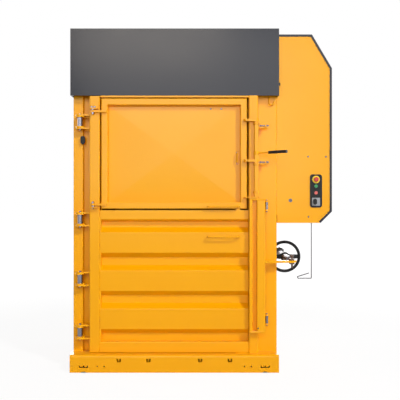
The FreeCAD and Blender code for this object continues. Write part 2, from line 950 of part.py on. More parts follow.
# ------------------------------------------------------------------ main door
def hinge_ear(low, high, arm_to_post):
    """Plate round the main hinge axis, welded to the post or to the column."""
    axis = (hinge_axis_x, hinge_axis_y)
    eye = cylinder(hinge_ear_radius, (*axis, low), (*axis, high))
    if arm_to_post:
        arm = prism([
            (hinge_axis_x, hinge_axis_y - hinge_ear_radius), (hinge_axis_x, hinge_axis_y + hinge_ear_radius),
            (post_left + post_wall / 2, door_back - section_round),
            (post_left + post_wall / 2, door_front + section_round),
        ], "z", low, high)
    else:
        arm = box((hinge_axis_x - hinge_ear_radius, hinge_axis_x + hinge_ear_radius),
                  (hinge_axis_y, column_front), (low, high))
        face_right = -base_side + left_face - section_round
        corner = box((face_right, face_right + 2 * hinge_ear_radius),
                     (hinge_axis_y + hinge_ear_radius, column_front + margin), (low - margin, high + margin))
        arm = arm.cut(corner)
    return eye.fuse(arm)


def hinge_spans(level):
    """Heights of the fixed and moving ears above and below one barrel."""
    half = barrel_length / 2
    fixed = [(level + half, level + half + hinge_plate), (level - half - hinge_plate, level - half)]
    gap = hinge_plate + running_gap
    moving = [(low + gap, high + gap) if low > level else (low - gap, high - gap) for low, high in fixed]
    return fixed, moving


def make_door_post():
    """Full-height hollow post of the door with the moving hinge ears."""
    outline = rectangle((post_left, post_right), (door_front, door_back))
    post = hollow_section(outline, post_wall, door_bottom, post_top)
    corners = [post_left, post_right]
    post = round_edges(post, section_round, "z", lambda edge: (
        min(abs(edge.CenterOfMass.x - corner) for corner in corners) < margin))
    ears = []
    axis = (hinge_axis_x, hinge_axis_y)
    for level in hinge_levels:
        for low, high in hinge_spans(level)[1]:
            bore = cylinder(hinge_pin + running_gap, (*axis, low - margin), (*axis, high + margin))
            ears.append(hinge_ear(low, high, True).cut(bore))
    return join(post, *ears)


def make_door_hinge_brackets():
    """Fixed hinge ears on the left column."""
    ears = []
    axis = (hinge_axis_x, hinge_axis_y)
    for level in hinge_levels:
        for low, high in hinge_spans(level)[0]:
            bore = cylinder(hinge_pin, (*axis, low - margin), (*axis, high + margin))
            ears.append(hinge_ear(low, high, False).cut(bore).removeSplitter())
    return Part.makeCompound(ears)


def make_hinge_barrels():
    """Bright sleeves between the fixed ears of the main hinges."""
    barrels = []
    axis = (hinge_axis_x, hinge_axis_y)
    for level in hinge_levels:
        half = barrel_length / 2
        barrels.append(pipe(barrel_radius, hinge_pin, (*axis, level - half), (*axis, level + half)))
    return Part.makeCompound(barrels)


def make_hinge_pins():
    """Pins of the main hinges, of the lock bar and of the spindle's rear fork."""
    pins = fork_pins()
    for level in hinge_levels:
        low = hinge_spans(level)[1][1][0] - hinge_pin_end
        high = hinge_spans(level)[1][0][1] + hinge_pin_end
        pins.append(cylinder(hinge_pin, (hinge_axis_x, hinge_axis_y, low),
                             (hinge_axis_x, hinge_axis_y, high)))
    for level in lock_hinge_levels:
        half = lock_barrel_length / 2 + running_gap + lock_ear_plate + lock_pin_end
        pins.append(cylinder(lock_pin, (lock_axis_x, lock_axis_y, level - half),
                             (lock_axis_x, lock_axis_y, level + half)))
    return Part.makeCompound(pins)


def door_sheet_line():
    """Front line of the ribbed door sheet, from the top down: depth, height."""
    recess = door_front + door_rib_depth
    line = [
        (door_front, door_top), (door_front, door_top - top_beam),
        (recess, door_top - top_beam - door_rib_slope / 2),
    ]
    for index in range(door_rib_count):
        middle = door_top - upper_rib_drop - index * door_rib_pitch
        half = door_rib_face / 2
        line.append((recess, middle + half + door_rib_slope))
        line.append((door_front, middle + half))
        line.append((door_front, middle - half))
        line.append((recess, middle - half - door_rib_slope))
    line.append((recess, door_bottom + bottom_beam))
    line.append((door_front, door_bottom + bottom_beam))
    line.append((door_front, door_bottom))
    return line


def make_lower_door():
    """Ribbed front sheet on a flat inner plate, closed above and below."""
    line = door_sheet_line()
    x = (door_left, door_right)
    front = prism(line + parallel_line(line, -door_sheet)[::-1], "x", *x)
    front = round_edges(front, door_bend, "x", lambda edge: (
        edge.CenterOfMass.y < door_front + margin
        and door_bottom + margin < edge.CenterOfMass.z < door_top - margin))
    shelf = door_bottom + bottom_beam
    beam_shelf = box(x, (door_front + door_rib_depth, door_back), (shelf - door_sheet, shelf))
    back = box(x, (door_back - door_sheet, door_back), (door_bottom, door_top))
    top = box(x, (door_front, door_back), (door_top - door_sheet, door_top))
    bottom = box(x, (door_front, door_back), (door_bottom, door_bottom + door_sheet))
    catch_left = rest_centre - rest_width / 2 + catch_inset
    catch = box((catch_left, catch_left + catch_width), (door_front, door_front + catch_depth),
                (door_top, hatch_bottom - catch_gap))
    post_tie = box((post_right, door_left + door_sheet), (door_front + door_sheet / 2, door_back),
                   (door_bottom, door_top))
    return join(front, beam_shelf, back, top, bottom, catch, post_tie)


def pull_handle(height):
    """Bent pull rod on a flat door face."""
    left = pull_centre - pull_length / 2
    right = pull_centre + pull_length / 2
    out = door_front - pull_reach
    points = [
        (right, door_front, height), (right, out, height), (left, out, height), (left, door_front, height),
    ]
    return bent_rod(points, pull_rod, pull_bend)


# ------------------------------------------------------------------ hatch
def hatch_hinge_bracket(level, upright):
    """Angle on the post: a shelf with the pin hole and an upright leg for two bolts."""
    x = (post_left + hatch_bracket_edge, post_right - hatch_bracket_edge)
    shelf = box(x, (hatch_axis_y - hatch_eye, door_front), (level, level + hatch_bracket_plate))
    leg_low, leg_high = sorted((level, level + upright * hatch_bracket_height))
    leg_high = leg_high + hatch_bracket_plate if upright < 0 else leg_high
    leg = box(x, (door_front - hatch_bracket_plate, door_front), (leg_low, leg_high))
    bore = cylinder(hatch_pin, (hatch_axis_x, hatch_axis_y, level - margin),
                    (hatch_axis_x, hatch_axis_y, level + hatch_bracket_plate + margin))
    return join(shelf, leg).cut(bore)


def make_hatch_hinge_brackets():
    return Part.makeCompound([
        hatch_hinge_bracket(hatch_upper_bracket, 1),
        hatch_hinge_bracket(hatch_lower_bracket, -1),
    ])


def hatch_strap_levels():
    """Lower face of the upper and of the lower strap."""
    upper = hatch_upper_bracket - hatch_spacer - hatch_strap_height
    lower = hatch_lower_bracket + hatch_bracket_plate + hatch_spacer
    return upper, lower


def make_hatch_hinge_pins():
    """Two pins, each with a spacing collar and a nut."""
    axis = (hatch_axis_x, hatch_axis_y)
    upper, lower = hatch_strap_levels()
    top_nut = upper - running_gap - hatch_nut_height
    low_nut = lower + hatch_strap_height + running_gap
    shelf_top = hatch_upper_bracket + hatch_bracket_plate
    top_pin = join(
        cylinder(hatch_pin, (*axis, top_nut - hatch_pin_tip), (*axis, shelf_top + hatch_pin_head)),
        cylinder(hatch_collar, (*axis, upper + hatch_strap_height + running_gap),
                 (*axis, hatch_upper_bracket)),
        hexagon(hatch_nut, (*axis, top_nut), "z", hatch_nut_height),
    )
    low_pin = join(
        cylinder(hatch_pin, (*axis, hatch_lower_bracket - hatch_pin_head),
                 (*axis, low_nut + hatch_nut_height + hatch_pin_tip)),
        cylinder(hatch_collar, (*axis, hatch_lower_bracket + hatch_bracket_plate),
                 (*axis, lower - running_gap)),
        hexagon(hatch_nut, (*axis, low_nut), "z", hatch_nut_height),
    )
    return Part.makeCompound([top_pin, low_pin])


def make_hatch_hinge_straps():
    """Flat straps from the hatch frame to the hinge pins."""
    straps = []
    axis = (hatch_axis_x, hatch_axis_y)
    end = hatch_left + hatch_frame_width - hatch_frame_round
    for level in hatch_strap_levels():
        z = (level, level + hatch_strap_height)
        eye = cylinder(hatch_eye, (*axis, z[0]), (*axis, z[1]))
        bar = box((hatch_axis_x, end), (hatch_axis_y, door_front - hatch_strap_back), z)
        pad = box((hatch_left + hatch_frame_round, end), (hatch_axis_y, door_front), z)
        bore = cylinder(hatch_pin + running_gap, (*axis, z[0] - margin), (*axis, z[1] + margin))
        straps.append(join(eye, bar, pad).cut(bore))
    return Part.makeCompound(straps)


def latch_hook_spans():
    """Heights of the hooks, top to bottom."""
    spans = [(level, level + latch_hook_height) for level in latch_hook_levels]
    spans.append((latch_shaft_bottom, latch_shaft_bottom + latch_small_hook_height))
    return spans


def latch_hook_outline(back):
    """Plan outline of a latch hook, from its tip to the latch axis."""
    front = latch_axis_y - latch_collar
    tip = latch_axis_x - latch_hook_reach
    return [
        (tip, back), (tip, door_front - latch_hook_back - latch_hook_tip),
        (tip + latch_hook_slope, front + latch_hook_drop), (latch_axis_x - latch_hook_root, front),
        (latch_axis_x, front), (latch_axis_x, back),
    ]


def make_hatch_frame():
    """Hatch frame with a lug in line with each latch hook."""
    y = (door_front, hatch_back)
    frame = box((hatch_left, hatch_right), y, (hatch_bottom, hatch_top))
    inner = box(
        (hatch_left + hatch_frame_width, hatch_right - hatch_frame_width), (y[0] - margin, y[1] + margin),
        (hatch_bottom + hatch_frame_width, hatch_top - hatch_frame_width),
    )
    frame = frame.cut(inner)
    front_edges = [edge for edge in frame.Edges if edge.BoundBox.YMax < door_front + margin]
    frame = frame.makeFillet(hatch_frame_round, front_edges)
    side = (latch_axis_x - latch_hook_reach, hatch_right + latch_lug_proud)
    lugs = []
    for z in latch_hook_spans():
        lug = prism(latch_hook_outline(door_front), "z", *z)
        lugs.append(lug.common(box(side, (latch_axis_y - latch_collar, door_front), z)))
    return join(frame, *lugs)


def low_pyramid(x, z, base, rise):
    """Four-sided pyramid whose tip stands forward of its base."""
    corners = [Vector(a, base, b) for a, b in rectangle(x, z)]
    outline = Part.makePolygon(corners + corners[:1])
    tip = Part.Vertex((x[0] + x[1]) / 2, base - rise, (z[0] + z[1]) / 2)
    return Part.makeLoft([outline, tip], True, True)


def make_hatch_panel():
    """Recessed sheet inside the hatch frame, folded from its corners to a raised centre."""
    x = (hatch_left + hatch_frame_width, hatch_right - hatch_frame_width)
    z = (hatch_bottom + hatch_frame_width, hatch_top - hatch_frame_width)
    back = panel_front + hatch_panel_sheet
    sheet_block = join(box(x, (panel_front, back), z), low_pyramid(x, z, panel_front, hatch_panel_rise))
    return sheet_block.cut(low_pyramid(x, z, back, hatch_panel_rise))


def make_hatch_grab_handle():
    low = grab_centre - grab_length / 2
    high = grab_centre + grab_length / 2
    out = panel_front - grab_reach
    inside = hatch_right - hatch_frame_width - grab_x + grab_rod
    half_width = (hatch_right - hatch_left) / 2 - hatch_frame_width
    face = panel_front - hatch_panel_rise * inside / half_width
    points = [(grab_x, face, low), (grab_x, out, low), (grab_x, out, high), (grab_x, face, high)]
    return bent_rod(points, grab_rod, grab_bend)


# ------------------------------------------------------------------ latch
def latch_bar():
    """Square bar of the latch over its full height."""
    half = latch_tube / 2
    bar = box((latch_axis_x - half, latch_axis_x + half), (latch_axis_y - half, latch_axis_y + half),
              (latch_shaft_bottom, latch_shaft_top))
    return round_edges(bar, latch_tube_corner, "z")


def make_latch_shaft():
    """Square latch bar, round in its bearings, with three hooks and the lever collar."""
    axis = (latch_axis_x, latch_axis_y)
    tube = latch_bar()
    for level in latch_bearing_levels:
        tube = tube.cut(pipe(latch_tube, latch_journal, (*axis, level - running_gap),
                             (*axis, level + latch_bearing_plate + running_gap)))
    parts = [tube, lever_collar()]
    reach = latch_axis_x - hatch_right - latch_lug_proud - latch_lug_gap
    for low, high in latch_hook_spans():
        hook = prism(latch_hook_outline(door_front - latch_hook_back), "z", low, high)
        parts.append(hook.common(cylinder(reach, (*axis, low), (*axis, high))))
        parts.append(cylinder(latch_collar, (*axis, low), (*axis, high)))
    return join(*parts)


def lever_collar():
    """Thick collar of the latch bar that the lever comes out of."""
    half = lever_collar_height / 2
    return cylinder(latch_collar, (latch_axis_x, latch_axis_y, lever_level - half),
                    (latch_axis_x, latch_axis_y, lever_level + half))


def lever_point(distance):
    turn = math.radians(lever_angle)
    return (latch_axis_x + distance * math.cos(turn), latch_axis_y + distance * math.sin(turn), lever_level)


def make_latch_lever():
    """Round lever arm out of the collar, up to the end of the grip."""
    arm = cylinder(lever_bar, lever_point(0), lever_point(lever_length))
    return arm.cut(lever_collar()).cut(latch_bar())


def make_latch_grip():
    """Sleeve over the end of the lever, closed by a cap."""
    sleeve = pipe(grip_radius, lever_bar, lever_point(lever_length - grip_length), lever_point(lever_length))
    cap = cylinder(grip_radius, lever_point(lever_length), lever_point(lever_length + grip_cap))
    return join(sleeve, cap)


def make_latch_bearings():
    """Bearing plates that carry the latch bar on the jamb."""
    plates = []
    axis = (latch_axis_x, latch_axis_y)
    outer = latch_journal + latch_bearing_rim
    for level in latch_bearing_levels:
        z = (level, level + latch_bearing_plate)
        x = (latch_axis_x - latch_bearing_width / 2,
             min(latch_axis_x + latch_bearing_width / 2, jamb_right - section_round))
        behind = box((latch_axis_x - outer, latch_axis_x + outer), (door_front, door_front + outer), z)
        eye = cylinder(outer, (*axis, z[0]), (*axis, z[1])).cut(behind)
        plate = join(box(x, (latch_axis_y, door_front), z), eye)
        bore = cylinder(latch_journal + running_gap, (*axis, z[0] - margin), (*axis, z[1] + margin))
        plates.append(plate.cut(bore))
    return Part.makeCompound(plates)


def adjuster_lugs():
    """Left edge of the two lugs of an adjuster bracket."""
    return jamb_right + adjuster_first_lug, jamb_right + adjuster_plate_length - adjuster_last_lug


def adjuster_rod(level):
    return cylinder(adjuster_screw, (jamb_right, adjuster_front - adjuster_screw_proud, level),
                    (jamb_right + adjuster_length, adjuster_front - adjuster_screw_proud, level))


def make_adjuster_brackets():
    """Angle brackets beside the jamb, each with two lugs for an adjusting screw."""
    brackets = []
    back = adjuster_front + adjuster_plate
    for level in adjuster_levels:
        low = level + adjuster_screw + adjuster_plate_rise
        parts = [box((jamb_right, jamb_right + adjuster_plate_length), (adjuster_front, back),
                     (low - adjuster_plate_drop, low + adjuster_plate_height))]
        for x in adjuster_lugs():
            parts.append(box((x, x + adjuster_plate), (adjuster_front - adjuster_lug_proud, back),
                             (level - adjuster_lug_height / 2, level + adjuster_lug_height / 2)))
        brackets.append(join(*parts).cut(adjuster_rod(level)))
    return Part.makeCompound(brackets)


def adjuster_screw_rods():
    """Threaded rods beside the jamb with two nuts each."""
    screws = []
    for level in adjuster_levels:
        plate = box((jamb_right, jamb_right + adjuster_plate_length), (adjuster_front, column_front),
                    (level - adjuster_plate_drop, level + adjuster_plate_drop))
        parts = [adjuster_rod(level)]
        for x in adjuster_lugs():
            centre = (x + adjuster_plate, adjuster_front - adjuster_screw_proud, level)
            parts.append(hexagon(adjuster_nut, centre, "x", adjuster_nut_width))
        screws.append(join(*parts).cut(plate))
    return screws


# ------------------------------------------------------------------ door lock
def lock_spans(level):
    """Heights of the fixed ears above and below one lock bar hinge."""
    reach = lock_barrel_length / 2 + running_gap
    return (level + reach, level + reach + lock_ear_plate), (level - reach - lock_ear_plate, level - reach)


def make_lock_bar():
    """Folded lock bar with end plates, hinge gussets and the lever arm."""
    lip_end = lock_left + lock_lip
    groove_end = lip_end + lock_groove
    line = [
        (lock_left, lock_back), (lock_left, lock_front), (lip_end, lock_front),
        (lip_end, lock_front + lock_groove_depth), (groove_end, lock_front + lock_groove_depth),
        (groove_end, lock_front), (lock_right, lock_front), (lock_right, lock_axis_y),
    ]
    inner = parallel_line(line, -lock_sheet)
    body = prism(line[::-1] + inner, "z", lock_bottom, lock_top)
    body = round_edges(body, lock_bend, "z", lambda edge: edge.CenterOfMass.y < lock_front + margin)
    ends = []
    for low in (lock_bottom, lock_top - lock_end_plate):
        ends.append(box((lock_left + lock_sheet, lock_right), (lock_front - lock_end_proud, lock_back),
                        (low, low + lock_end_plate)))
    gussets = []
    axis = (lock_axis_x, lock_axis_y)
    for level in lock_hinge_levels:
        half = lock_barrel_length / 2
        z = (level - half, level + half)
        y = (lock_axis_y - lock_sheet / 2, lock_axis_y + lock_sheet / 2)
        gusset = box((lock_right, lock_axis_x), y, z)
        gussets.append(gusset.cut(cylinder(lock_barrel_radius, (*axis, z[0]), (*axis, z[1]))))
        gussets.append(box((lock_right - lock_sheet, lock_right),
                           (lock_axis_y - lock_sheet, lock_axis_y + lock_sheet / 2), z))
    return join(body, *ends, *gussets, make_lever_arm())


def make_lever_arm():
    """Arm from the lock bar across the column to the spindle, with a slot for the clevis pin."""
    z = (arm_level - arm_plate / 2, arm_level + arm_plate / 2)
    root = (lock_right - lock_sheet, (lock_front + lock_axis_y) / 2)
    turn = math.atan2(arm_tip_y - root[1], arm_tip_x - root[0])
    along = (math.cos(turn), math.sin(turn))
    across = (-along[1], along[0])

    def point(distance, shift):
        return (arm_tip_x + along[0] * distance + across[0] * shift,
                arm_tip_y + along[1] * distance + across[1] * shift)

    back = -math.hypot(arm_tip_x - root[0], arm_tip_y - root[1])
    half = arm_half_width
    shoulder = back + arm_shoulder
    outline = [
        point(back, -arm_root_half), point(back, arm_root_half), point(shoulder, half), point(0, half),
        point(arm_tip_reach, arm_tip_half), point(arm_tip_reach, -arm_tip_half), point(0, -half),
        point(shoulder, -half),
    ]
    arm = prism(outline, "z", *z)
    reach = math.atan2(arm_tip_y - lock_axis_y, arm_tip_x - lock_axis_x)
    slot_along = (math.cos(reach), math.sin(reach))
    radius = clevis_pin + arm_slot_clearance
    cuts = []
    ends = (-arm_slot_back, arm_slot_length)
    for distance in ends:
        centre = (arm_tip_x + slot_along[0] * distance, arm_tip_y + slot_along[1] * distance)
        cuts.append(cylinder(radius, (*centre, z[0] - margin), (*centre, z[1] + margin)))
    slot = []
    for a, b in rectangle(ends, (-radius, radius)):
        slot.append((arm_tip_x + slot_along[0] * a - slot_along[1] * b,
                     arm_tip_y + slot_along[1] * a + slot_along[0] * b))
    cuts.append(prism(slot, "z", z[0] - margin, z[1] + margin))
    for cut in cuts:
        arm = arm.cut(cut)
    return arm


def make_lock_barrels():
    """Bright hinge sleeves of the lock bar."""
    barrels = []
    axis = (lock_axis_x, lock_axis_y)
    for level in lock_hinge_levels:
        half = lock_barrel_length / 2
        barrels.append(pipe(lock_barrel_radius, lock_pin + running_gap,
                            (*axis, level - half), (*axis, level + half)))
    return Part.makeCompound(barrels)


def make_lock_bar_brackets():
    """Ears on the right column that hold the lock bar's pins."""
    ears = []
    axis = (lock_axis_x, lock_axis_y)
    for level in lock_hinge_levels:
        for low, high in lock_spans(level):
            eye = cylinder(lock_ear_radius, (*axis, low), (*axis, high))
            arm = box((lock_axis_x - lock_ear_radius, lock_axis_x + lock_ear_radius),
                      (lock_axis_y, column_front), (low, high))
            ears.append(join(eye, arm).cut(cylinder(lock_pin, (*axis, low - margin), (*axis, high + margin))))
    return Part.makeCompound(ears)


def make_spindle():
    """Threaded spindle with a clevis and its pin round the lever arm."""
    x, y, z = arm_tip_x, arm_tip_y, arm_level
    gap = arm_plate / 2 + clevis_gap
    width = (x - clevis_half_width, x + clevis_half_width)
    depth = (y - clevis_half_width, y + clevis_throat + clevis_web)
    top = gap + clevis_plate
    web = box(width, (y + clevis_throat, y + clevis_throat + clevis_web), (z - top, z + top))
    ears = [box(width, depth, (z + gap, z + top)), box(width, depth, (z - top, z - gap))]
    pin_top = z + clevis_pin_above
    pin = cylinder(clevis_pin, (x, y, z - clevis_pin_below), (x, y, pin_top))
    head = cylinder(clevis_head, (x, y, pin_top - clevis_head_height), (x, y, pin_top))
    rod = cylinder(spindle_radius, (x, y + clevis_throat, z), (x, base_front + spindle_end_setback, z))
    return join(web, *ears, pin, head, rod)


def make_handwheel():
    """Two-spoke wheel with a round rim and a hub."""
    centre = Vector(arm_tip_x, wheel_y, arm_level)
    rim = Part.makeTorus(wheel_radius - wheel_rim, wheel_rim, centre, Vector(0, 1, 0))
    half = wheel_hub_length / 2
    hub = cylinder(wheel_hub, (arm_tip_x, wheel_y - half, arm_level), (arm_tip_x, wheel_y + half, arm_level))
    parts = [rim, hub]
    for side in (-1, 1):
        root = arm_tip_x
        tip = arm_tip_x + side * (wheel_radius - wheel_rim)
        points = [(root, arm_level - spoke_root / 2), (root, arm_level + spoke_root / 2),
                  (tip, arm_level + spoke_end / 2), (tip, arm_level - spoke_end / 2)]
        parts.append(prism(points, "y", wheel_y - spoke_plate / 2, wheel_y + spoke_plate / 2))
    bore = cylinder(nut_tube_radius, (arm_tip_x, wheel_y - half - margin, arm_level),
                    (arm_tip_x, wheel_y + half + margin, arm_level))
    return join(*parts).cut(bore)


def make_nut_tube():
    """Grey threaded tube through the wheel, with a collar on each side of its rear block."""
    start = base_front + nut_tube_setback
    front_collar = trunnion_front - running_gap
    rear_collar = trunnion_rear + running_gap
    end = rear_collar + nut_tube_collar_width

    def at(y):
        return (arm_tip_x, y, arm_level)

    tube = cylinder(nut_tube_radius, at(start), at(end))
    collars = [cylinder(nut_tube_collar, at(front_collar - nut_tube_collar_width), at(front_collar)),
               cylinder(nut_tube_collar, at(rear_collar), at(end))]
    bore = cylinder(spindle_radius + spindle_fit, at(start - margin), at(end + margin))
    return join(tube, *collars).cut(bore)


def fork_pins():
    """Upright pins above and below the rear block."""
    pins = []
    for side in (-1, 1):
        start = arm_level + side * (trunnion_half - fork_pin_depth)
        end = arm_level + side * (trunnion_half + fork_plate + fork_pin_rise)
        pins.append(cylinder(fork_pin, (arm_tip_x, trunnion_y, start), (arm_tip_x, trunnion_y, end)))
    return pins


def make_spindle_bracket():
    """Fork on the rear column with a block between its plates, which carries the nut tube."""
    foot_end = rear_column_rear - section_round
    foot_front = rear_column_front + section_round
    foot_right = base_side + fork_plate
    reach = trunnion_half + fork_plate
    foot = box((base_side, foot_right), (foot_front, foot_end),
               (arm_level - reach - fork_foot_rim, arm_level + reach + fork_foot_rim))
    plates = []
    for low, high in ((-reach, -trunnion_half), (trunnion_half, reach)):
        z = (arm_level + low, arm_level + high)
        arm = prism([
            (arm_tip_x, trunnion_y - fork_eye), (base_side + fork_plate / 2, foot_front),
            (base_side + fork_plate / 2, foot_end - fork_root), (arm_tip_x, trunnion_y + fork_eye),
        ], "z", *z)
        plates.append(arm)
        plates.append(cylinder(fork_eye, (arm_tip_x, trunnion_y, z[0]), (arm_tip_x, trunnion_y, z[1])))
    fork = join(foot, *plates)
    block = box((arm_tip_x - trunnion_half, arm_tip_x + trunnion_half), (trunnion_front, trunnion_rear),
                (arm_level - trunnion_half, arm_level + trunnion_half))
    block = block.cut(cylinder(nut_tube_radius + running_gap, (arm_tip_x, trunnion_front - margin, arm_level),
                               (arm_tip_x, trunnion_rear + margin, arm_level)))
    for pin in fork_pins():
        fork = fork.cut(pin)
        block = block.cut(pin)
    return Part.makeCompound([fork, block])


# ------------------------------------------------------------------ cabinet
def cabinet_line():
    """Outer line of the cabinet front, from the upper left round to the lower edge."""
    return [
        (cabinet_left, cabinet_top), (cabinet_right - upper_chamfer_x, cabinet_top),
        (cabinet_right, cabinet_top - upper_chamfer_z), (cabinet_right, cabinet_bottom + lower_chamfer_z),
        (cabinet_right - lower_chamfer_x, cabinet_bottom),
    ]


def make_cabinet_wrap():
    """Dark sheet over the top, chamfers and right side, with a narrow front lip."""
    line = cabinet_line()
    skin = prism(folded(line, sheet), "y", cabinet_front, cabinet_rear)
    lip = prism(folded(line, trim_width), "y", cabinet_front, cabinet_front + sheet)
    return join(skin, lip)


def cabinet_body_outline():
    """Closed outline of the yellow casing, inside the wrap."""
    inner = parallel_line(cabinet_line(), sheet)
    slope = lower_chamfer_x / lower_chamfer_z
    inner[-1] = (inner[-1][0] - (inner[-1][1] - cabinet_bottom) * slope, cabinet_bottom)
    return inner + [(cabinet_left, cabinet_bottom)]


def make_cabinet_casing():
    """Casing: back, left side and bottom, with the mounting rail to the column."""
    outline = cabinet_body_outline()
    front = cabinet_panel_front + sheet
    back = prism(outline, "y", cabinet_rear - sheet, cabinet_rear)
    y = (front, cabinet_rear)
    left = box((cabinet_left, cabinet_left + sheet), y, (cabinet_bottom, cabinet_top - sheet))
    bottom = box((cabinet_left, outline[-2][0]), y, (cabinet_bottom, cabinet_bottom + sheet))
    rail_front = cabinet_front + cabinet_rail_setback
    rail = box((base_side, cabinet_left), (rail_front, rail_front + cabinet_rail_width),
               (cabinet_rail_bottom, hood_bottom - cabinet_rail_gap))
    return join(back, left, bottom, rail)


def panel_bores():
    """Bores through the front panel for the controls and the lock."""
    y = (control_front - margin, cabinet_panel_front + sheet + margin)
    bores = [cylinder(lock_core + running_gap, (lock_place[0], y[0], lock_place[1]),
                      (lock_place[0], y[1], lock_place[1]))]
    for height in (emergency_height, green_height, red_height, selector_height):
        x = control_x + (knob_offset if height == selector_height else 0)
        bores.append(cylinder(stem_radius + running_gap, (x, y[0], height), (x, y[1], height)))
    return bores


def make_cabinet_front_panel():
    panel = prism(cabinet_body_outline(), "y", cabinet_panel_front, cabinet_panel_front + sheet)
    for bore in panel_bores():
        panel = panel.cut(bore)
    return panel


def make_screws():
    """Adjusting screws of the latch and the screws of the cabinet's front panel."""
    screws = adjuster_screw_rods()
    for x, z in panel_screw_places:
        screws.append(cylinder(panel_screw, (x, cabinet_panel_front - panel_screw_head, z),
                               (x, cabinet_panel_front, z)))
    return Part.makeCompound(screws)


def make_cabinet_lock():
    """Quarter-turn lock: round face, core and cam behind the panel."""
    x, z = lock_place
    face_back = cabinet_panel_front - running_gap
    face = cylinder(lock_flange, (x, face_back - lock_flange_height, z), (x, face_back, z))
    cam_front = cabinet_panel_front + sheet + running_gap
    core = cylinder(lock_core, (x, face_back, z), (x, cam_front, z))
    cam = box((x - lock_core, x + lock_cam_length), (cam_front, cam_front + lock_cam_plate),
              (z - lock_core, z + lock_core))
    face_front = face_back - lock_flange_height
    slot = box((x - lock_slot_width / 2, x + lock_slot_width / 2),
               (face_front - margin, face_front + lock_slot_depth),
               (z - lock_slot_length / 2, z + lock_slot_length / 2))
    return join(face, core, cam).cut(slot)


def make_control_plate():
    """Rounded plate with raised bezels round the two buttons."""
    y = (control_front, cabinet_panel_front)
    plate = box((plate_left, plate_left + plate_width), y, (plate_bottom, plate_bottom + plate_height))
    plate = round_edges(plate, plate_corner, "y")
    parts = [plate]
    for height in (green_height, red_height):
        front = (control_x, control_front - bezel_height, height)
        back = (control_x, control_front, height)
        parts.append(pipe(bezel_radius, button_radius + running_gap, front, back))
    plate = join(*parts)
    for bore in panel_bores()[1:]:
        plate = plate.cut(bore)
    return plate


def make_emergency_ring():
    """Flat ring under the emergency button."""
    front = (control_x, control_front - ring_height, emergency_height)
    return pipe(ring_radius, stem_radius + running_gap, front, (control_x, control_front, emergency_height))


def make_emergency_button():
    """Mushroom head on a stem that slides through the ring and the plate."""
    z = emergency_height
    reach = emergency_travel + mushroom_gap
    back = control_front - ring_height - reach
    head = cylinder(mushroom_radius, (control_x, back - mushroom_height, z), (control_x, back, z))
    front_edges = [edge for edge in head.Edges if edge.CenterOfMass.y < back - mushroom_height / 2
                   and edge.Curve.TypeId == "Part::GeomCircle"]
    head = head.makeFillet(mushroom_round, front_edges)
    stem = cylinder(stem_radius, (control_x, back, z), (control_x, back + reach + stem_length, z))
    return join(head, stem)


def make_button(height):
    """Flat push button inside its bezel."""
    back = control_front - running_gap - button_travel
    cap = cylinder(button_radius, (control_x, back - button_height, height), (control_x, back, height))
    stem = cylinder(stem_radius, (control_x, back, height), (control_x, back + stem_length, height))
    return join(cap, stem)


def make_selector_plate():
    z = selector_height
    half = selector_square / 2
    plate = box((control_x - half, control_x + half), (control_front - selector_plate, control_front),
                (z - half, z + half))
    plate = round_edges(plate, selector_corner, "y")
    x = control_x + knob_offset
    return plate.cut(cylinder(stem_radius + running_gap, (x, control_front - selector_plate - margin, z),
                              (x, control_front + margin, z)))


def make_selector_knob():
    """Oval turning knob on its stem."""
    x, z = control_x + knob_offset, selector_height
    back = control_front - selector_plate - running_gap
    y = (back - knob_height, back)
    knob = box((x - knob_width / 2, x + knob_width / 2), y, (z - knob_length / 2, z + knob_length / 2))
    knob = round_edges(knob, knob_width * full_round, "y")
    stem = cylinder(stem_radius, (x, back, z), (x, back + stem_length, z))
    return join(knob, stem)


# ------------------------------------------------------------------ inside the cabinet
def tank_box():
    """Width, depth and height of the oil tank."""
    left = cabinet_left + sheet
    front = cabinet_front + tank_setback
    bottom = cabinet_bottom + sheet
    return (left, left + tank_width), (front, front + tank_depth), (bottom, bottom + tank_height)


def make_hydraulic_tank():
    """Oil tank on the cabinet floor, with a lid that stands out all round."""
    x, y, z = tank_box()
    body = round_edges(box(x, y, (z[0], z[1] - tank_lid)), tank_corner, "z")
    lid = box((x[0], x[1] + tank_lid_edge), (y[0] - tank_lid_edge, y[1] + tank_lid_edge),
              (z[1] - tank_lid, z[1]))
    return join(body, lid)


def make_pump_motor():
    """Upright motor on the tank lid, with a foot flange and a terminal box."""
    x, y, z = tank_box()
    centre = (x[0] + motor_radius + motor_inset, (y[0] + y[1]) / 2)
    lid = z[1]
    body_top = lid + motor_height
    foot = cylinder(motor_radius + motor_foot, (*centre, lid), (*centre, lid + motor_foot))
    body = cylinder(motor_radius, (*centre, lid + motor_foot), (*centre, body_top))
    cowl = cylinder(motor_radius - motor_cowl_step,
                    (*centre, body_top), (*centre, body_top + motor_cowl_height))
    terminal = box((centre[0] - terminal_width / 2, centre[0] + terminal_width / 2),
                   (centre[1] - motor_radius - terminal_depth, centre[1]),
                   (lid + terminal_bottom, lid + terminal_bottom + terminal_height))
    return join(foot, body, cowl, terminal)


def make_valve_block():
    """Valve block on the tank lid with two solenoid bodies."""
    x, y, z = tank_box()
    right = x[1] - valve_inset
    middle = y[1] - valve_setback
    top = z[1] + valve_height
    depth = (middle - valve_depth / 2, middle + valve_depth / 2)
    parts = [box((right - valve_width, right), depth, (z[1], top))]
    for shift in (-solenoid_spacing / 2, solenoid_spacing / 2):
        place = (right - valve_width / 2, middle + shift)
        parts.append(cylinder(solenoid_radius, (*place, top), (*place, top + solenoid_height)))
    return join(*parts)


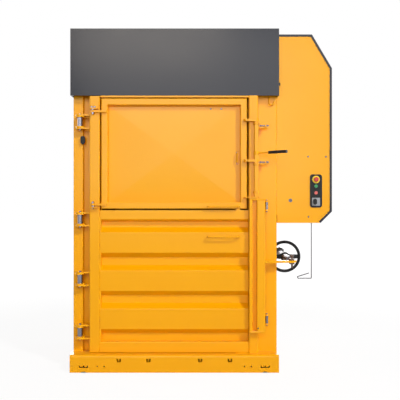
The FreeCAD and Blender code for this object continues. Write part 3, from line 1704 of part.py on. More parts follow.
# ------------------------------------------------------------------ small parts
def make_switch_housing():
    """Oval switch housing on the edge of the left column."""
    x = (switch_x - switch_width / 2, switch_x + switch_width / 2)
    z = (switch_z - switch_height / 2, switch_z + switch_height / 2)
    body = box(x, (column_front - switch_proud, column_front), z)
    return round_edges(body, switch_width * full_round, "y")


def make_hood_hook():
    """Small J hook on the right column under the hood."""
    out = column_front - hook_reach
    top = hood_bottom - hook_top_gap
    bottom = top - hook_drop
    points = [(hook_x, column_front, top), (hook_x, out, top), (hook_x, out, bottom),
              (hook_x + hook_width, out, bottom), (hook_x + hook_width, out, bottom + hook_tip)]
    return bent_rod(points, hook_rod, hook_bend)


def make_strap_needle():
    """Bent rod that hangs under the cabinet for threading straps."""
    y = base_front + needle_setback
    low = cabinet_bottom - needle_drop
    foot = needle_x - needle_foot
    points = [
        (needle_x, y, cabinet_bottom), (needle_x, y, low), (foot, y, low),
        (foot - needle_loop_back, y, low + needle_loop_rise), (foot + needle_return, y, low + needle_rise),
    ]
    return bent_rod(points, needle_rod, needle_bend)


# ------------------------------------------------------------------ all pieces
pieces = {
    "base_frame": make_base_frame,
    "chamber_floor": make_chamber_floor,
    "left_side_wall": lambda: make_side_wall(-1),
    "right_side_wall": lambda: make_side_wall(1),
    "back_wall": make_back_wall,
    "left_column": make_left_column,
    "right_column": make_right_column,
    "rear_columns": make_rear_columns,
    "right_jamb": make_right_jamb,
    "front_rail": make_front_rail,
    "crosshead": make_crosshead,
    "hood": make_hood,
    "cylinder_barrel": make_cylinder_barrel,
    "cylinder_stage_1": lambda: make_stage(2),
    "cylinder_stage_2": lambda: make_stage(1),
    "piston_rod": make_piston_rod,
    "platen": make_platen,
    "door_post": make_door_post,
    "lower_door": make_lower_door,
    "door_hinge_brackets": make_door_hinge_brackets,
    "hinge_barrels": make_hinge_barrels,
    "hinge_pins": make_hinge_pins,
    "door_pull_rod": lambda: pull_handle(door_pull_height),
    "hatch_frame": make_hatch_frame,
    "hatch_panel": make_hatch_panel,
    "hatch_hinge_brackets": make_hatch_hinge_brackets,
    "hatch_hinge_pins": make_hatch_hinge_pins,
    "hatch_hinge_straps": make_hatch_hinge_straps,
    "hatch_pull_rod": lambda: pull_handle(hatch_pull_height),
    "hatch_grab_handle": make_hatch_grab_handle,
    "latch_shaft": make_latch_shaft,
    "latch_lever": make_latch_lever,
    "latch_grip": make_latch_grip,
    "latch_bearings": make_latch_bearings,
    "adjuster_brackets": make_adjuster_brackets,
    "lock_bar": make_lock_bar,
    "lock_barrels": make_lock_barrels,
    "lock_bar_brackets": make_lock_bar_brackets,
    "spindle": make_spindle,
    "handwheel": make_handwheel,
    "nut_tube": make_nut_tube,
    "spindle_bracket": make_spindle_bracket,
    "cabinet_wrap": make_cabinet_wrap,
    "cabinet_casing": make_cabinet_casing,
    "cabinet_front_panel": make_cabinet_front_panel,
    "screws": make_screws,
    "cabinet_lock": make_cabinet_lock,
    "control_plate": make_control_plate,
    "emergency_ring": make_emergency_ring,
    "emergency_button": make_emergency_button,
    "green_button": lambda: make_button(green_height),
    "red_button": lambda: make_button(red_height),
    "selector_plate": make_selector_plate,
    "selector_knob": make_selector_knob,
    "hydraulic_tank": make_hydraulic_tank,
    "pump_motor": make_pump_motor,
    "valve_block": make_valve_block,
    "switch_housing": make_switch_housing,
    "hood_hook": make_hood_hook,
    "strap_needle": make_strap_needle,
}

os.makedirs("parts", exist_ok=True)
for name, make in pieces.items():
    shape = make()
    shape.exportStep(os.path.join("parts", name + ".step"))
    print(f"{name}: {len(shape.Solids)} solid(s), valid {shape.isValid()}, {shape.Volume / 1e6:.2f} litres")
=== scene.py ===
import json
import math

import bpy
from mathutils import Matrix, Vector


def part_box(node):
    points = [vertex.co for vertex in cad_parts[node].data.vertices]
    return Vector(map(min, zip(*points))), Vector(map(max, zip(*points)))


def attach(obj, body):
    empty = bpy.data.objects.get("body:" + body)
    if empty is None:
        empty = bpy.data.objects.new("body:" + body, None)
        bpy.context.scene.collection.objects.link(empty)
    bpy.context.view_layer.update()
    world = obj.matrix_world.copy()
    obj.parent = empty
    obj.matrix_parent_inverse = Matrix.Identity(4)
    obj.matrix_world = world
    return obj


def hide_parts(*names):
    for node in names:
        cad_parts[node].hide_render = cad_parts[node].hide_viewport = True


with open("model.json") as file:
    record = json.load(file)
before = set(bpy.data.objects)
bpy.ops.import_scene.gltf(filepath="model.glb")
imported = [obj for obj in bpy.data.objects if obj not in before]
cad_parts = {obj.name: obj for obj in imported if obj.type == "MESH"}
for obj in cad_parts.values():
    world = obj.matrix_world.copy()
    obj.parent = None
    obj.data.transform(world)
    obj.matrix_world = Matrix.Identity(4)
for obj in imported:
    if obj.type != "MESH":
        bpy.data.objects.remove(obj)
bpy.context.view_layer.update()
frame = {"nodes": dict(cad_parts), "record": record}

MM = 0.001
FRONT = (0.0, -1.0, 0.0)
RIGHT = (1.0, 0.0, 0.0)
UP = (0.0, 0.0, 1.0)
CREASE = math.radians(35.0)  # edges sharper than this stay sharp, or are bevelled


# ------------------------------------------------------------------ node and colour helpers
def srgb(code):
    """Linear colour of an sRGB hex code."""
    parts = [int(code[place:place + 2], 16) / 255 for place in (0, 2, 4)]
    linear = [part / 12.92 if part <= 0.04045 else ((part + 0.055) / 1.055) ** 2.4 for part in parts]
    return (*linear, 1.0)


def add(tree, kind, inputs=None, **settings):
    """Adds a node, with its own settings and the values or links of its inputs."""
    made = tree.nodes.new(kind)
    for name, value in settings.items():
        setattr(made, name, value)
    for name, value in (inputs or {}).items():
        if isinstance(value, bpy.types.NodeSocket):
            tree.links.new(value, made.inputs[name])
        else:
            made.inputs[name].default_value = value
    return made


def blank_material(name):
    material = bpy.data.materials.new(name)
    material.use_nodes = True
    material.node_tree.nodes.clear()
    return material, material.node_tree


def per_metre(size_mm):
    """Noise scale for a pattern whose features are this many millimetres wide."""
    return 1000.0 / size_mm


# ------------------------------------------------------------------ finishes
def coated_metal(name, colour, tint, roughness, specular, peel_mm=9.0, peel_height=0.04):
    """Sprayed and baked coat: slight orange peel, slow drift in tone and in gloss."""
    material, tree = blank_material(name)
    place = add(tree, "ShaderNodeTexCoord").outputs["Object"]
    # Real orange peel is 2 to 4 mm wide; it is drawn coarser so that it shows at all.
    peel = add(tree, "ShaderNodeTexNoise", {"Vector": place, "Scale": per_metre(peel_mm), "Detail": 2.0})
    bump = add(tree, "ShaderNodeBump", {"Height": peel.outputs["Fac"], "Strength": 0.25,
                                        "Distance": peel_height * MM})
    # Film thickness drifts over about 350 mm, which moves the tone and the gloss a little.
    drift = add(tree, "ShaderNodeTexNoise", {"Vector": place, "Scale": per_metre(350.0), "Detail": 1.0})
    tone = add(tree, "ShaderNodeMix", {0: drift.outputs["Fac"], 6: srgb(colour), 7: srgb(tint)},
               data_type="RGBA")
    gloss = add(tree, "ShaderNodeMapRange", {"Value": drift.outputs["Fac"], "To Min": roughness - 0.03,
                                             "To Max": roughness + 0.03})
    shader = add(tree, "ShaderNodeBsdfPrincipled", {
        "Base Color": tone.outputs[2], "Roughness": gloss.outputs["Result"],
        "Normal": bump.outputs["Normal"], "IOR": 1.5, "Specular IOR Level": specular,
    })
    add(tree, "ShaderNodeOutputMaterial", {"Surface": shader.outputs["BSDF"]})
    return material


def plated_metal(name, colour, roughness, grain_mm=2.5, grain_height=0.02):
    """Zinc or chrome on steel: metal with a fine crystalline grain."""
    material, tree = blank_material(name)
    place = add(tree, "ShaderNodeTexCoord").outputs["Object"]
    grain = add(tree, "ShaderNodeTexNoise", {"Vector": place, "Scale": per_metre(grain_mm), "Detail": 3.0})
    gloss = add(tree, "ShaderNodeMapRange", {"Value": grain.outputs["Fac"], "To Min": roughness - 0.06,
                                             "To Max": roughness + 0.06})
    bump = add(tree, "ShaderNodeBump", {"Height": grain.outputs["Fac"], "Strength": 0.3,
                                        "Distance": grain_height * MM})
    shader = add(tree, "ShaderNodeBsdfPrincipled", {
        "Base Color": srgb(colour), "Metallic": 1.0, "Roughness": gloss.outputs["Result"],
        "Normal": bump.outputs["Normal"],
    })
    add(tree, "ShaderNodeOutputMaterial", {"Surface": shader.outputs["BSDF"]})
    return material


def moulded_plastic(name, colour, roughness, specular=0.5, grain_mm=1.2, grain_height=0.03):
    """Injection moulded plastic with the fine spark grain of its mould."""
    material, tree = blank_material(name)
    place = add(tree, "ShaderNodeTexCoord").outputs["Object"]
    grain = add(tree, "ShaderNodeTexNoise", {"Vector": place, "Scale": per_metre(grain_mm), "Detail": 2.0})
    bump = add(tree, "ShaderNodeBump", {"Height": grain.outputs["Fac"], "Strength": 0.3,
                                        "Distance": grain_height * MM})
    shader = add(tree, "ShaderNodeBsdfPrincipled", {
        "Base Color": srgb(colour), "Roughness": roughness, "Normal": bump.outputs["Normal"], "IOR": 1.46,
        "Specular IOR Level": specular,
    })
    add(tree, "ShaderNodeOutputMaterial", {"Surface": shader.outputs["BSDF"]})
    return material


finishes = {
    "yellow_paint": coated_metal("golden yellow powder coat", "F3AA04", "F1A602", 0.24, 0.22),
    "dark_paint": coated_metal("dark grey satin powder coat", "1F222C", "22252F", 0.2, 0.205),
    "bright_zinc": plated_metal("bright zinc plate", "7E7B80", 0.26),
    "black_plastic": moulded_plastic("black moulded nylon", "121314", 0.45, 0.25),
    "hard_chrome": plated_metal("ground hard chrome", "D5D6D8", 0.12),
    "oiled_steel": plated_metal("oiled thread steel", "5A4C44", 0.4),
    "grey_zinc": plated_metal("dull grey zinc plate", "605E62", 0.42),
    "grey_machine_paint": coated_metal("grey machine enamel", "7B7F84", "777B80", 0.4, 0.5),
    "yellow_plastic": moulded_plastic("signal yellow ABS", "F6D21A", 0.35),
    "red_plastic": moulded_plastic("signal red nylon", "C0201C", 0.3),
    "pale_red_plastic": moulded_plastic("pale red polycarbonate", "D8625A", 0.3),
    "green_plastic": moulded_plastic("green polycarbonate", "1F8A4C", 0.3),
    "grey_plastic": moulded_plastic("grey ABS", "9A9DA2", 0.4),
    # Dark steel for the fork behind the handwheel: painted shade, not a finish of its own.
    "shade_dark_steel": plated_metal("dark steel for painted shade", "34312F", 0.38),
}
slot_of = {part["node"]: part["material_slot"] for part in frame["record"]["subparts"]}
for node, piece in frame["nodes"].items():
    piece.data.materials.clear()
    piece.data.materials.append(finishes[slot_of[node]])
# The fork behind the handwheel gets dark steel, unlike the painted plates round it: painted shade, standing in
# for the deep shade that falls on it there.
frame["nodes"]["spindle_bracket"].data.materials[0] = finishes["shade_dark_steel"]


# ------------------------------------------------------------------ modelling helpers
def begin(name, kind, **size):
    """Adds a primitive as the only selected object."""
    bpy.ops.object.select_all(action="DESELECT")
    getattr(bpy.ops.mesh, "primitive_" + kind + "_add")(**size)
    piece = bpy.context.object
    piece.name = name
    bpy.ops.object.transform_apply(location=True, rotation=True, scale=True)
    return piece


def pick(piece, wanted):
    """Enters edit mode with the faces selected for which the test of centre and normal holds."""
    bpy.ops.object.mode_set(mode="EDIT")
    bpy.ops.mesh.select_mode(type="FACE")
    bpy.ops.mesh.select_all(action="DESELECT")
    bpy.ops.object.mode_set(mode="OBJECT")
    for face in piece.data.polygons:
        face.select = wanted(face.center, face.normal)
    bpy.ops.object.mode_set(mode="EDIT")


def round_off(piece, width, segments=2):
    """Bevels every edge sharper than the crease angle and smooths the rest."""
    bevel = piece.modifiers.new("edges", "BEVEL")
    bevel.width = width
    bevel.segments = segments
    bevel.angle_limit = CREASE
    bpy.ops.object.modifier_apply(modifier=bevel.name)
    bpy.ops.object.shade_smooth_by_angle(angle=CREASE)


def join(name, pieces):
    bpy.ops.object.select_all(action="DESELECT")
    for piece in pieces:
        piece.select_set(True)
    bpy.context.view_layer.objects.active = pieces[0]
    bpy.ops.object.join()
    pieces[0].name = name
    return pieces[0]


def repeat(piece, step, count):
    """Repeats the piece along a step in metres, inside its own mesh."""
    row = piece.modifiers.new("row", "ARRAY")
    row.use_relative_offset = False
    row.use_constant_offset = True
    row.constant_offset_displace = step
    row.count = count
    bpy.ops.object.modifier_apply(modifier=row.name)


def fit(model, name, body, slot, place, direction, roll=0.0):
    """A copy with its own mesh: the model's +Z along the direction, its foot at the place in millimetres."""
    piece = bpy.data.objects.new(name, model.data.copy())
    turn = Vector((0.0, 0.0, 1.0)).rotation_difference(Vector(direction)).to_matrix().to_4x4()
    piece.data.transform(Matrix.Translation(Vector(place) * MM) @ turn @ Matrix.Rotation(roll, 4, "Z"))
    bpy.context.scene.collection.objects.link(piece)
    piece.data.materials.clear()
    piece.data.materials.append(finishes[slot])
    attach(piece, body)
    return piece


# ------------------------------------------------------------------ fasteners
def hex_bolt(name, flats, height):
    """Hexagon head with a chamfered crown on a flat washer, standing on its washer."""
    thickness = 0.11 * flats
    washer = begin(name + "_washer", "cylinder", vertices=24, radius=0.6 * flats, depth=thickness,
                   location=(0.0, 0.0, thickness / 2))
    round_off(washer, 0.25 * thickness, 1)
    head = begin(name + "_head", "cylinder", vertices=6, radius=flats / math.sqrt(3.0), depth=height,
                 location=(0.0, 0.0, thickness + height / 2))
    pick(head, lambda centre, normal: normal.z > 0.9)
    bpy.ops.mesh.inset(thickness=0.09 * flats, depth=0.0)
    bpy.ops.transform.translate(value=(0.0, 0.0, 0.06 * flats))
    bpy.ops.mesh.inset(thickness=0.1 * flats, depth=-0.04 * flats)
    bpy.ops.object.mode_set(mode="OBJECT")
    round_off(head, 0.03 * flats, 1)
    return join(name, [washer, head])


def stud_nut(name, flats, stud, length):
    """Nut on a washer with the stud's chamfered end through it."""
    nut = hex_bolt(name + "_nut", flats, 0.5 * flats)
    end = begin(name + "_end", "cylinder", vertices=16, radius=stud, depth=length,
                location=(0.0, 0.0, length / 2))
    pick(end, lambda centre, normal: normal.z > 0.9)
    bpy.ops.mesh.extrude_region_move(TRANSFORM_OT_translate={"value": (0.0, 0.0, 0.3 * stud)})
    bpy.ops.transform.resize(value=(0.75, 0.75, 1.0))
    bpy.ops.object.mode_set(mode="OBJECT")
    round_off(end, 0.06 * stud, 1)
    return join(name, [nut, end])


def button_screw(name, radius):
    """Low domed head with a round drive socket."""
    head = begin(name, "cylinder", vertices=24, radius=radius, depth=0.3 * radius,
                 location=(0.0, 0.0, 0.15 * radius))
    pick(head, lambda centre, normal: normal.z > 0.9)
    bpy.ops.mesh.inset(thickness=0.2 * radius, depth=0.18 * radius)
    bpy.ops.mesh.inset(thickness=0.25 * radius, depth=0.08 * radius)
    bpy.ops.mesh.inset(thickness=0.05 * radius, depth=-0.28 * radius)
    bpy.ops.object.mode_set(mode="OBJECT")
    round_off(head, 0.04 * radius, 1)
    return head


def fit_hatch_fasteners():
    """Bolts of the upper hatch hinge, nuts of the grab handle and screws at the panel's top."""
    bolt = hex_bolt("bolt_model", 13 * MM, 6 * MM)
    nut = stud_nut("nut_model", 13 * MM, 4 * MM, 12 * MM)
    screw = button_screw("screw_model", 7 * MM)
    bracket_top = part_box("hatch_hinge_brackets")[1].z / MM
    post_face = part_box("door_post")[0].y / MM
    bolt_place = {"left": -672.0, "right": -648.0}
    for side, across in bolt_place.items():
        fit(bolt, "hatch_hinge_bolt_" + side, "main_door", "bright_zinc",
            (across, post_face + 1.0, bracket_top - 12.0), FRONT, roll=0.2)
    low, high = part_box("hatch_grab_handle")
    rod_inset = 5.0
    nut_height = {"upper": high.z / MM - rod_inset, "lower": low.z / MM + rod_inset}
    for level, height in nut_height.items():
        fit(nut, "grab_handle_nut_" + level, "hatch", "bright_zinc",
            ((low.x + high.x) / 2 / MM, high.y / MM - 1.5, height), FRONT, roll=0.3)
    screw_place = {"left": 294.0, "right": 380.0}
    panel_face, screw_level = -405.2, 2129.0
    for side, across in screw_place.items():
        fit(screw, "hatch_panel_screw_" + side, "hatch", "bright_zinc", (across, panel_face, screw_level), FRONT)
    for model in (bolt, nut, screw):
        bpy.data.objects.remove(model)


def fit_lock_and_cabinet_fasteners(lock_bar):
    """Bolt in the lock bar's lower end plate, and screws of the cabinet's front panel."""
    bolt = hex_bolt("small_bolt_model", 10 * MM, 5 * MM)
    screw = button_screw("screw_model", 7 * MM)
    plate_face = min(point.co.y for point in lock_bar.data.vertices) / MM + 3.1
    fit(bolt, "lock_bar_bolt", "lock", "oiled_steel", (673.0, plate_face, 351.0), FRONT, roll=0.1)
    cabinet_face = -338.8
    screw_place = {"upper_left": (1104.0, 1742.0), "upper_right": (1251.0, 1742.0), "lower": (1106.0, 1242.0)}
    for corner, (across, height) in screw_place.items():
        fit(screw, "cabinet_screw_" + corner, "machine", "bright_zinc", (across, cabinet_face, height), FRONT)
    for model in (bolt, screw):
        bpy.data.objects.remove(model)


# ------------------------------------------------------------------ welds, lips and covers
def weld_bead(name, length):
    """Row of overlapping weld ripples along +X, half sunk in the corner that it fills."""
    pitch = 2.4 * MM
    ripple = begin(name, "torus", major_segments=10, minor_segments=6, major_radius=2.0 * MM,
                   minor_radius=1.6 * MM, rotation=(0.0, math.radians(62.0), 0.0))
    repeat(ripple, (pitch, 0.0, 0.0), int(length / pitch))
    return ripple


def fit_welds():
    """Beads at the roots of the fixed door hinge plates."""
    low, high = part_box("door_hinge_brackets")
    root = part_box("left_column")[0].y / MM
    length = high.x - low.x - 10.0 * MM
    bead = weld_bead("hinge_weld_model", length)
    plate_levels = (2066.0, 1972.0, 1273.0, 1179.0, 786.0, 692.0, 355.0, 261.0)
    for number, level in enumerate(plate_levels, start=1):
        fit(bead, f"hinge_weld_{number}", "machine", "yellow_paint", (low.x / MM + 6.0, root - 0.6, level), UP)
    bpy.data.objects.remove(bead)


def fit_jack_slot_lips():
    """Two half-round tongues behind the front of each jack slot, which leave a moustache-shaped gap."""
    tongues = []
    for offset in (-16.5 * MM, 16.5 * MM):
        tongue = begin("tongue", "cylinder", vertices=32, radius=14.0 * MM, depth=3.0 * MM,
                       location=(offset, 0.0, 0.0), rotation=(math.radians(90.0), 0.0, 0.0))
        bpy.ops.object.mode_set(mode="EDIT")
        bpy.ops.mesh.select_all(action="SELECT")
        bpy.ops.mesh.bisect(plane_co=(0.0, 0.0, 1.0 * MM), plane_no=(0.0, 0.0, 1.0), use_fill=True,
                            clear_outer=True)
        bpy.ops.object.mode_set(mode="OBJECT")
        round_off(tongue, 0.6 * MM)
        tongues.append(tongue)
    lip = join("jack_slot_lip_model", tongues)
    behind_apron, slot_level = -526.0, 57.5
    for side, across in (("left", -727.0), ("right", 727.0)):
        fit(lip, "jack_slot_lip_" + side, "machine", "yellow_paint", (across, behind_apron, slot_level), UP)
    bpy.data.objects.remove(lip)


def fit_jamb_strip():
    """Closing strip on the jamb behind the lower door's free edge."""
    low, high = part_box("lower_door")
    length = high.z - low.z - 6.0 * MM
    strip = begin("jamb_strip_model", "cube", size=1.0, scale=(2.6 * MM, 9.0 * MM, length))
    pick(strip, lambda centre, normal: normal.y < -0.9)
    bpy.ops.mesh.inset(thickness=0.5 * MM, depth=0.6 * MM)
    bpy.ops.object.mode_set(mode="OBJECT")
    round_off(strip, 0.3 * MM, 1)
    fit(strip, "jamb_strip", "machine", "yellow_paint",
        (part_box("right_jamb")[0].x / MM - 1.2, -444.5, (low.z + high.z) / 2 / MM), UP)
    bpy.data.objects.remove(strip)


def refold(node, title, moves, crease=CREASE):
    """Replaces a folded sheet node by a copy whose points are moved, one band of depth and width after another.

    A move gives the band's near and far depth, its left and right, and the way across and along Y.
    """
    sheet = bpy.data.objects.new(title, frame["nodes"][node].data.copy())
    bpy.context.scene.collection.objects.link(sheet)
    bpy.ops.object.select_all(action="DESELECT")
    sheet.select_set(True)
    bpy.context.view_layer.objects.active = sheet
    bpy.ops.object.mode_set(mode="EDIT")
    bpy.ops.mesh.select_all(action="SELECT")
    bpy.ops.mesh.remove_doubles(threshold=0.01 * MM)
    bpy.ops.mesh.select_mode(type="VERT")
    for nearest, furthest, left, right, across, along in moves:
        bpy.ops.mesh.select_all(action="DESELECT")
        bpy.ops.object.mode_set(mode="OBJECT")
        for point in sheet.data.vertices:
            point.select = nearest < point.co.y / MM < furthest and left < point.co.x / MM < right
        bpy.ops.object.mode_set(mode="EDIT")
        bpy.ops.transform.translate(value=(across * MM, along * MM, 0.0))
    bpy.ops.object.mode_set(mode="OBJECT")
    bpy.ops.object.shade_smooth_by_angle(angle=crease)
    even = sheet.modifiers.new("even", "WEIGHTED_NORMAL")
    even.keep_sharp = True
    bpy.ops.object.modifier_apply(modifier=even.name)
    bodies = frame["record"]["behaviour"]["bodies"]
    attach(sheet, next(body for body, members in bodies.items() if node in members))
    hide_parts(node)
    return sheet


def refold_lock_bar():
    """Lock bar with its lip and plate folded further out, so that the groove lies in shade."""
    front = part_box("lock_bar")[0].y / MM
    left, right = 600.0, 735.0
    return refold("lock_bar", "lock_bar_folded", (
        (front - 1.0, front + 9.2, left, right, 0.0, -14.0),
        (front + 24.0, front + 32.0, left, right, 0.0, 5.0),
    ))


def refold_left_column():
    """Left column with a shallower step behind the door post, as the soft shade there shows."""
    left, front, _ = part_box("left_column")[0] / MM
    near, far = front + 60.0, front + 75.0
    chamber_wall = -598.0
    refold("left_column", "left_column_folded", (
        (near, far, left + 70.0, left + 90.0, -9.0, -32.0),
        (near, far, left + 120.0, chamber_wall, 0.0, -32.0),
    ))


def refold_hatch_panel():
    """Hatch panel with its centre raised further, so that the folds from its corners can be seen."""
    low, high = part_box("hatch_panel")
    middle = (low.x + high.x) / 2 / MM
    # The folds are only one or two degrees, so each face is kept flat.
    refold("hatch_panel", "hatch_panel_folded", (
        (low.y / MM - 1.0, high.y / MM + 1.0, middle - 5.0, middle + 5.0, 0.0, -5.0),
    ), crease=math.radians(0.5))


# ------------------------------------------------------------------ hood, handwheel and controls
def fit_hood_knob():
    """Rubber-headed stop screw on the hood's right end."""
    knob = begin("hood_knob_model", "cylinder", vertices=28, radius=8.0 * MM, depth=4.0 * MM,
                 location=(0.0, 0.0, 2.0 * MM))
    pick(knob, lambda centre, normal: normal.z > 0.9)
    bpy.ops.mesh.extrude_region_move(TRANSFORM_OT_translate={"value": (0.0, 0.0, 1.5 * MM)})
    bpy.ops.transform.resize(value=(1.7, 1.7, 1.0))
    bpy.ops.mesh.extrude_region_move(TRANSFORM_OT_translate={"value": (0.0, 0.0, 4.5 * MM)})
    bpy.ops.mesh.inset(thickness=3.0 * MM, depth=1.2 * MM)
    bpy.ops.object.mode_set(mode="OBJECT")
    round_off(knob, 0.8 * MM)
    hood_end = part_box("hood")[1].x / MM
    fit(knob, "hood_knob", "machine", "black_plastic", (hood_end - 0.4, -436.0, 2327.0), RIGHT)
    bpy.data.objects.remove(knob)


def fit_wheel_grip():
    """Finger ribs round the handwheel's rim, left out where the two spokes meet it."""
    low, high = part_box("handwheel")
    centre = (low + high) / 2
    section = 13.0 * MM  # radius of the rim's round section
    reach = 129.0 * MM  # from the hub's axis to the middle of that section
    spoke_share = 0.2  # sine of the angle that each spoke takes up on either side
    count = 72
    rib = begin("wheel_rib_model", "torus", major_segments=18, minor_segments=6, major_radius=section,
                minor_radius=1.5 * MM, rotation=(math.radians(90.0), 0.0, 0.0))
    # Each rib lies square to the rim: its axis points along the rim's circle in the XZ plane.
    upright = Matrix.Translation((reach, 0.0, 0.0)) @ Matrix.Rotation(math.radians(90.0), 4, "X")
    ribs = []
    for place in range(count):
        angle = math.tau * place / count
        if abs(math.sin(angle)) < spoke_share:
            continue
        one = bpy.data.objects.new("wheel_rib", rib.data.copy())
        one.data.transform(Matrix.Translation(centre) @ Matrix.Rotation(-angle, 4, "Y") @ upright)
        bpy.context.scene.collection.objects.link(one)
        ribs.append(one)
    grip = join("wheel_grip_model", ribs)
    bpy.ops.object.shade_smooth()
    fit(grip, "wheel_grip", "wheel", "black_plastic", (0.0, 0.0, 0.0), UP)
    bpy.data.objects.remove(grip)
    bpy.data.objects.remove(rib)


def fit_controls():
    """Ribbed scale field of the selector, and the key plug of the cabinet's lock."""
    low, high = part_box("selector_plate")
    stripe = begin("selector_stripe_model", "cube", size=1.0, scale=(2.2 * MM, 2.0 * MM, 54.0 * MM))
    round_off(stripe, 0.6 * MM)
    repeat(stripe, (4.2 * MM, 0.0, 0.0), 4)
    fit(stripe, "selector_stripes", "machine", "grey_plastic",
        (low.x / MM + 49.6, low.y / MM + 0.2, (low.z + high.z) / 2 / MM), UP)
    bpy.data.objects.remove(stripe)
    low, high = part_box("cabinet_lock")
    plug = begin("lock_plug_model", "cylinder", vertices=28, radius=9.0 * MM, depth=2.4 * MM)
    pick(plug, lambda centre, normal: normal.z > 0.9)
    bpy.ops.mesh.inset(thickness=2.2 * MM, depth=0.5 * MM)
    bpy.ops.mesh.inset(thickness=3.0 * MM, depth=-0.2 * MM)
    bpy.ops.transform.resize(value=(0.35, 1.2, 1.0))
    bpy.ops.mesh.extrude_region_move(TRANSFORM_OT_translate={"value": (0.0, 0.0, -1.4 * MM)})
    bpy.ops.object.mode_set(mode="OBJECT")
    round_off(plug, 0.2 * MM, 1)
    fit(plug, "lock_plug", "panel_lock", "oiled_steel",
        (957.0, low.y / MM + 0.4, (low.z + high.z) / 2 / MM), FRONT)
    bpy.data.objects.remove(plug)


refold_left_column()
refold_hatch_panel()
fit_lock_and_cabinet_fasteners(refold_lock_bar())
fit_hatch_fasteners()
fit_welds()
fit_jack_slot_lips()
fit_jamb_strip()
fit_hood_knob()
fit_wheel_grip()
fit_controls()


# ------------------------------------------------------------------ floor, light and camera
def larger(tree, first, second):
    return add(tree, "ShaderNodeMath", {0: first, 1: second}, operation="MAXIMUM").outputs[0]


def share_of_seen_rays(tree):
    """1 for rays of the camera, of gloss and through glass, and 0 for those that light the object."""
    rays = add(tree, "ShaderNodeLightPath").outputs
    seen = larger(tree, rays["Is Camera Ray"], rays["Is Glossy Ray"])
    return larger(tree, seen, rays["Is Transmission Ray"])


def share_outside_base(tree, place):
    """1 beside, before and behind the base, and 0 under it."""
    half_width, half_depth = 0.838, 0.53
    axes = add(tree, "ShaderNodeSeparateXYZ", {0: place}).outputs
    across = add(tree, "ShaderNodeMath", {0: axes["X"]}, operation="ABSOLUTE")
    along = add(tree, "ShaderNodeMath", {0: axes["Y"]}, operation="ABSOLUTE")
    beside = add(tree, "ShaderNodeMath", {0: across.outputs[0], 1: half_width}, operation="GREATER_THAN")
    beyond = add(tree, "ShaderNodeMath", {0: along.outputs[0], 1: half_depth}, operation="GREATER_THAN")
    return larger(tree, beside.outputs[0], beyond.outputs[0])


def make_floor():
    """Plain pale floor that fades into the white background but keeps the object's shadow."""
    bpy.ops.object.select_all(action="DESELECT")
    bpy.ops.mesh.primitive_plane_add(size=60.0)
    floor = bpy.context.object
    floor.name = "floor"
    material, tree = blank_material("pale studio floor")
    place = add(tree, "ShaderNodeTexCoord").outputs["Object"]
    distance = add(tree, "ShaderNodeVectorMath", {0: place}, operation="LENGTH")
    # The floor is all background from 9 m out, and 0.8 of it where the object throws its shadow.
    fade = add(tree, "ShaderNodeMapRange", {"Value": distance.outputs["Value"], "From Min": 2.5,
                                            "From Max": 9.0, "To Min": 0.8, "To Max": 1.0})
    share = add(tree, "ShaderNodeMath", {0: share_of_seen_rays(tree), 1: fade.outputs[0]}, operation="MULTIPLY")
    # Under the base the floor is plain, so that no light comes through the slots in the apron.
    share = add(tree, "ShaderNodeMath", {0: share.outputs[0], 1: share_outside_base(tree, place)},
                operation="MULTIPLY")
    pale = add(tree, "ShaderNodeBsdfDiffuse", {"Color": srgb("BEBEBE")})
    white = add(tree, "ShaderNodeEmission", {"Color": srgb("FFFFFF"), "Strength": 1.12})
    mixed = add(tree, "ShaderNodeMixShader", {0: share.outputs[0], 1: pale.outputs[0], 2: white.outputs[0]})
    add(tree, "ShaderNodeOutputMaterial", {"Surface": mixed.outputs[0]})
    floor.data.materials.append(material)


def make_world():
    """White surroundings for the camera and for gloss, a plain grey for the light that they give."""
    world = bpy.data.worlds.new("studio")
    bpy.context.scene.world = world
    world.use_nodes = True
    tree = world.node_tree
    tree.nodes.clear()
    ambient = add(tree, "ShaderNodeBackground", {"Color": srgb("FFFFFF"), "Strength": 0.05})
    white = add(tree, "ShaderNodeBackground", {"Color": srgb("FFFFFF"), "Strength": 1.0})
    mixed = add(tree, "ShaderNodeMixShader", {0: share_of_seen_rays(tree), 1: ambient.outputs[0],
                                              2: white.outputs[0]})
    add(tree, "ShaderNodeOutputWorld", {"Surface": mixed.outputs[0]})


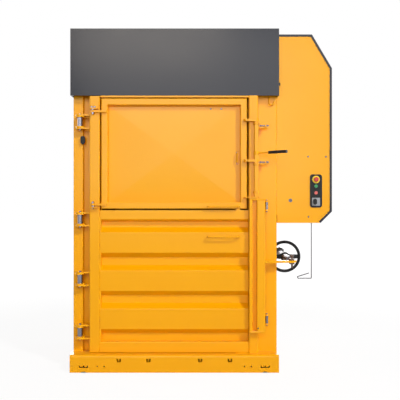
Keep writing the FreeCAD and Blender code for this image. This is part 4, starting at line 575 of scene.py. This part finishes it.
def softbox(name, place, target, width, height, radiance, colour="FFFFFF", spread=180.0):
    """Rectangular area lamp of a given surface radiance."""
    lamp = bpy.data.lights.new(name, "AREA")
    lamp.shape = "RECTANGLE"
    lamp.size = width
    lamp.size_y = height
    lamp.energy = radiance * math.pi * width * height
    lamp.color = srgb(colour)[:3]
    lamp.spread = math.radians(spread)
    holder = bpy.data.objects.new(name, lamp)
    holder.location = place
    holder.rotation_euler = (Vector(target) - Vector(place)).to_track_quat("-Z", "Y").to_euler()
    bpy.context.scene.collection.objects.link(holder)


def make_camera():
    """Camera of the photograph: square on, 5 m before the base, at half the machine's height."""
    lens = bpy.data.cameras.new("camera")
    lens.sensor_width = 36.0
    # 8 mm for each of 400 pixels at 5 m: 36 mm * 5000 / 3200.
    lens.lens = 56.25
    holder = bpy.data.objects.new("camera", lens)
    holder.location = (0.2055, -5.53, 1.382)
    holder.rotation_euler = (math.radians(90.0), 0.0, 0.0)
    bpy.context.scene.collection.objects.link(holder)
    bpy.context.scene.camera = holder


make_floor()
make_world()
softbox("front_box", (0.4, -12.0, 2.98), (0.4, -0.5, 2.98), 7.2, 3.64, 3.95)
softbox("high_box", (-1.2, -12.0, 6.0), (-1.2, -0.5, 6.0), 4.4, 2.2, 11.2, "FFF6EA")
softbox("right_box", (2.6, -12.0, 5.6), (2.6, -0.5, 5.6), 3.0, 1.6, 5.3)
softbox("key_box", (6.9, -8.5, 8.9), (-0.9, -0.45, 0.2), 1.28, 1.28, 21.4, spread=60.0)
softbox("side_box", (5.2, -1.2, 1.82), (-0.2, -0.46, 1.82), 0.25, 0.9, 60.0)
# Three boxes behind the machine's front light its sides, back and top, and none of its front.
softbox("back_box", (0.0, 10.5, 4.0), (0.0, 0.5, 1.4), 8.0, 4.0, 6.0)
softbox("left_rear_box", (-10.0, 2.6, 3.6), (-0.8, 0.4, 1.4), 5.0, 4.0, 6.0)
softbox("right_rear_box", (10.0, 2.6, 3.6), (0.8, 0.4, 1.4), 5.0, 4.0, 6.0)
make_camera()
bpy.context.scene.view_settings.view_transform = "Standard"
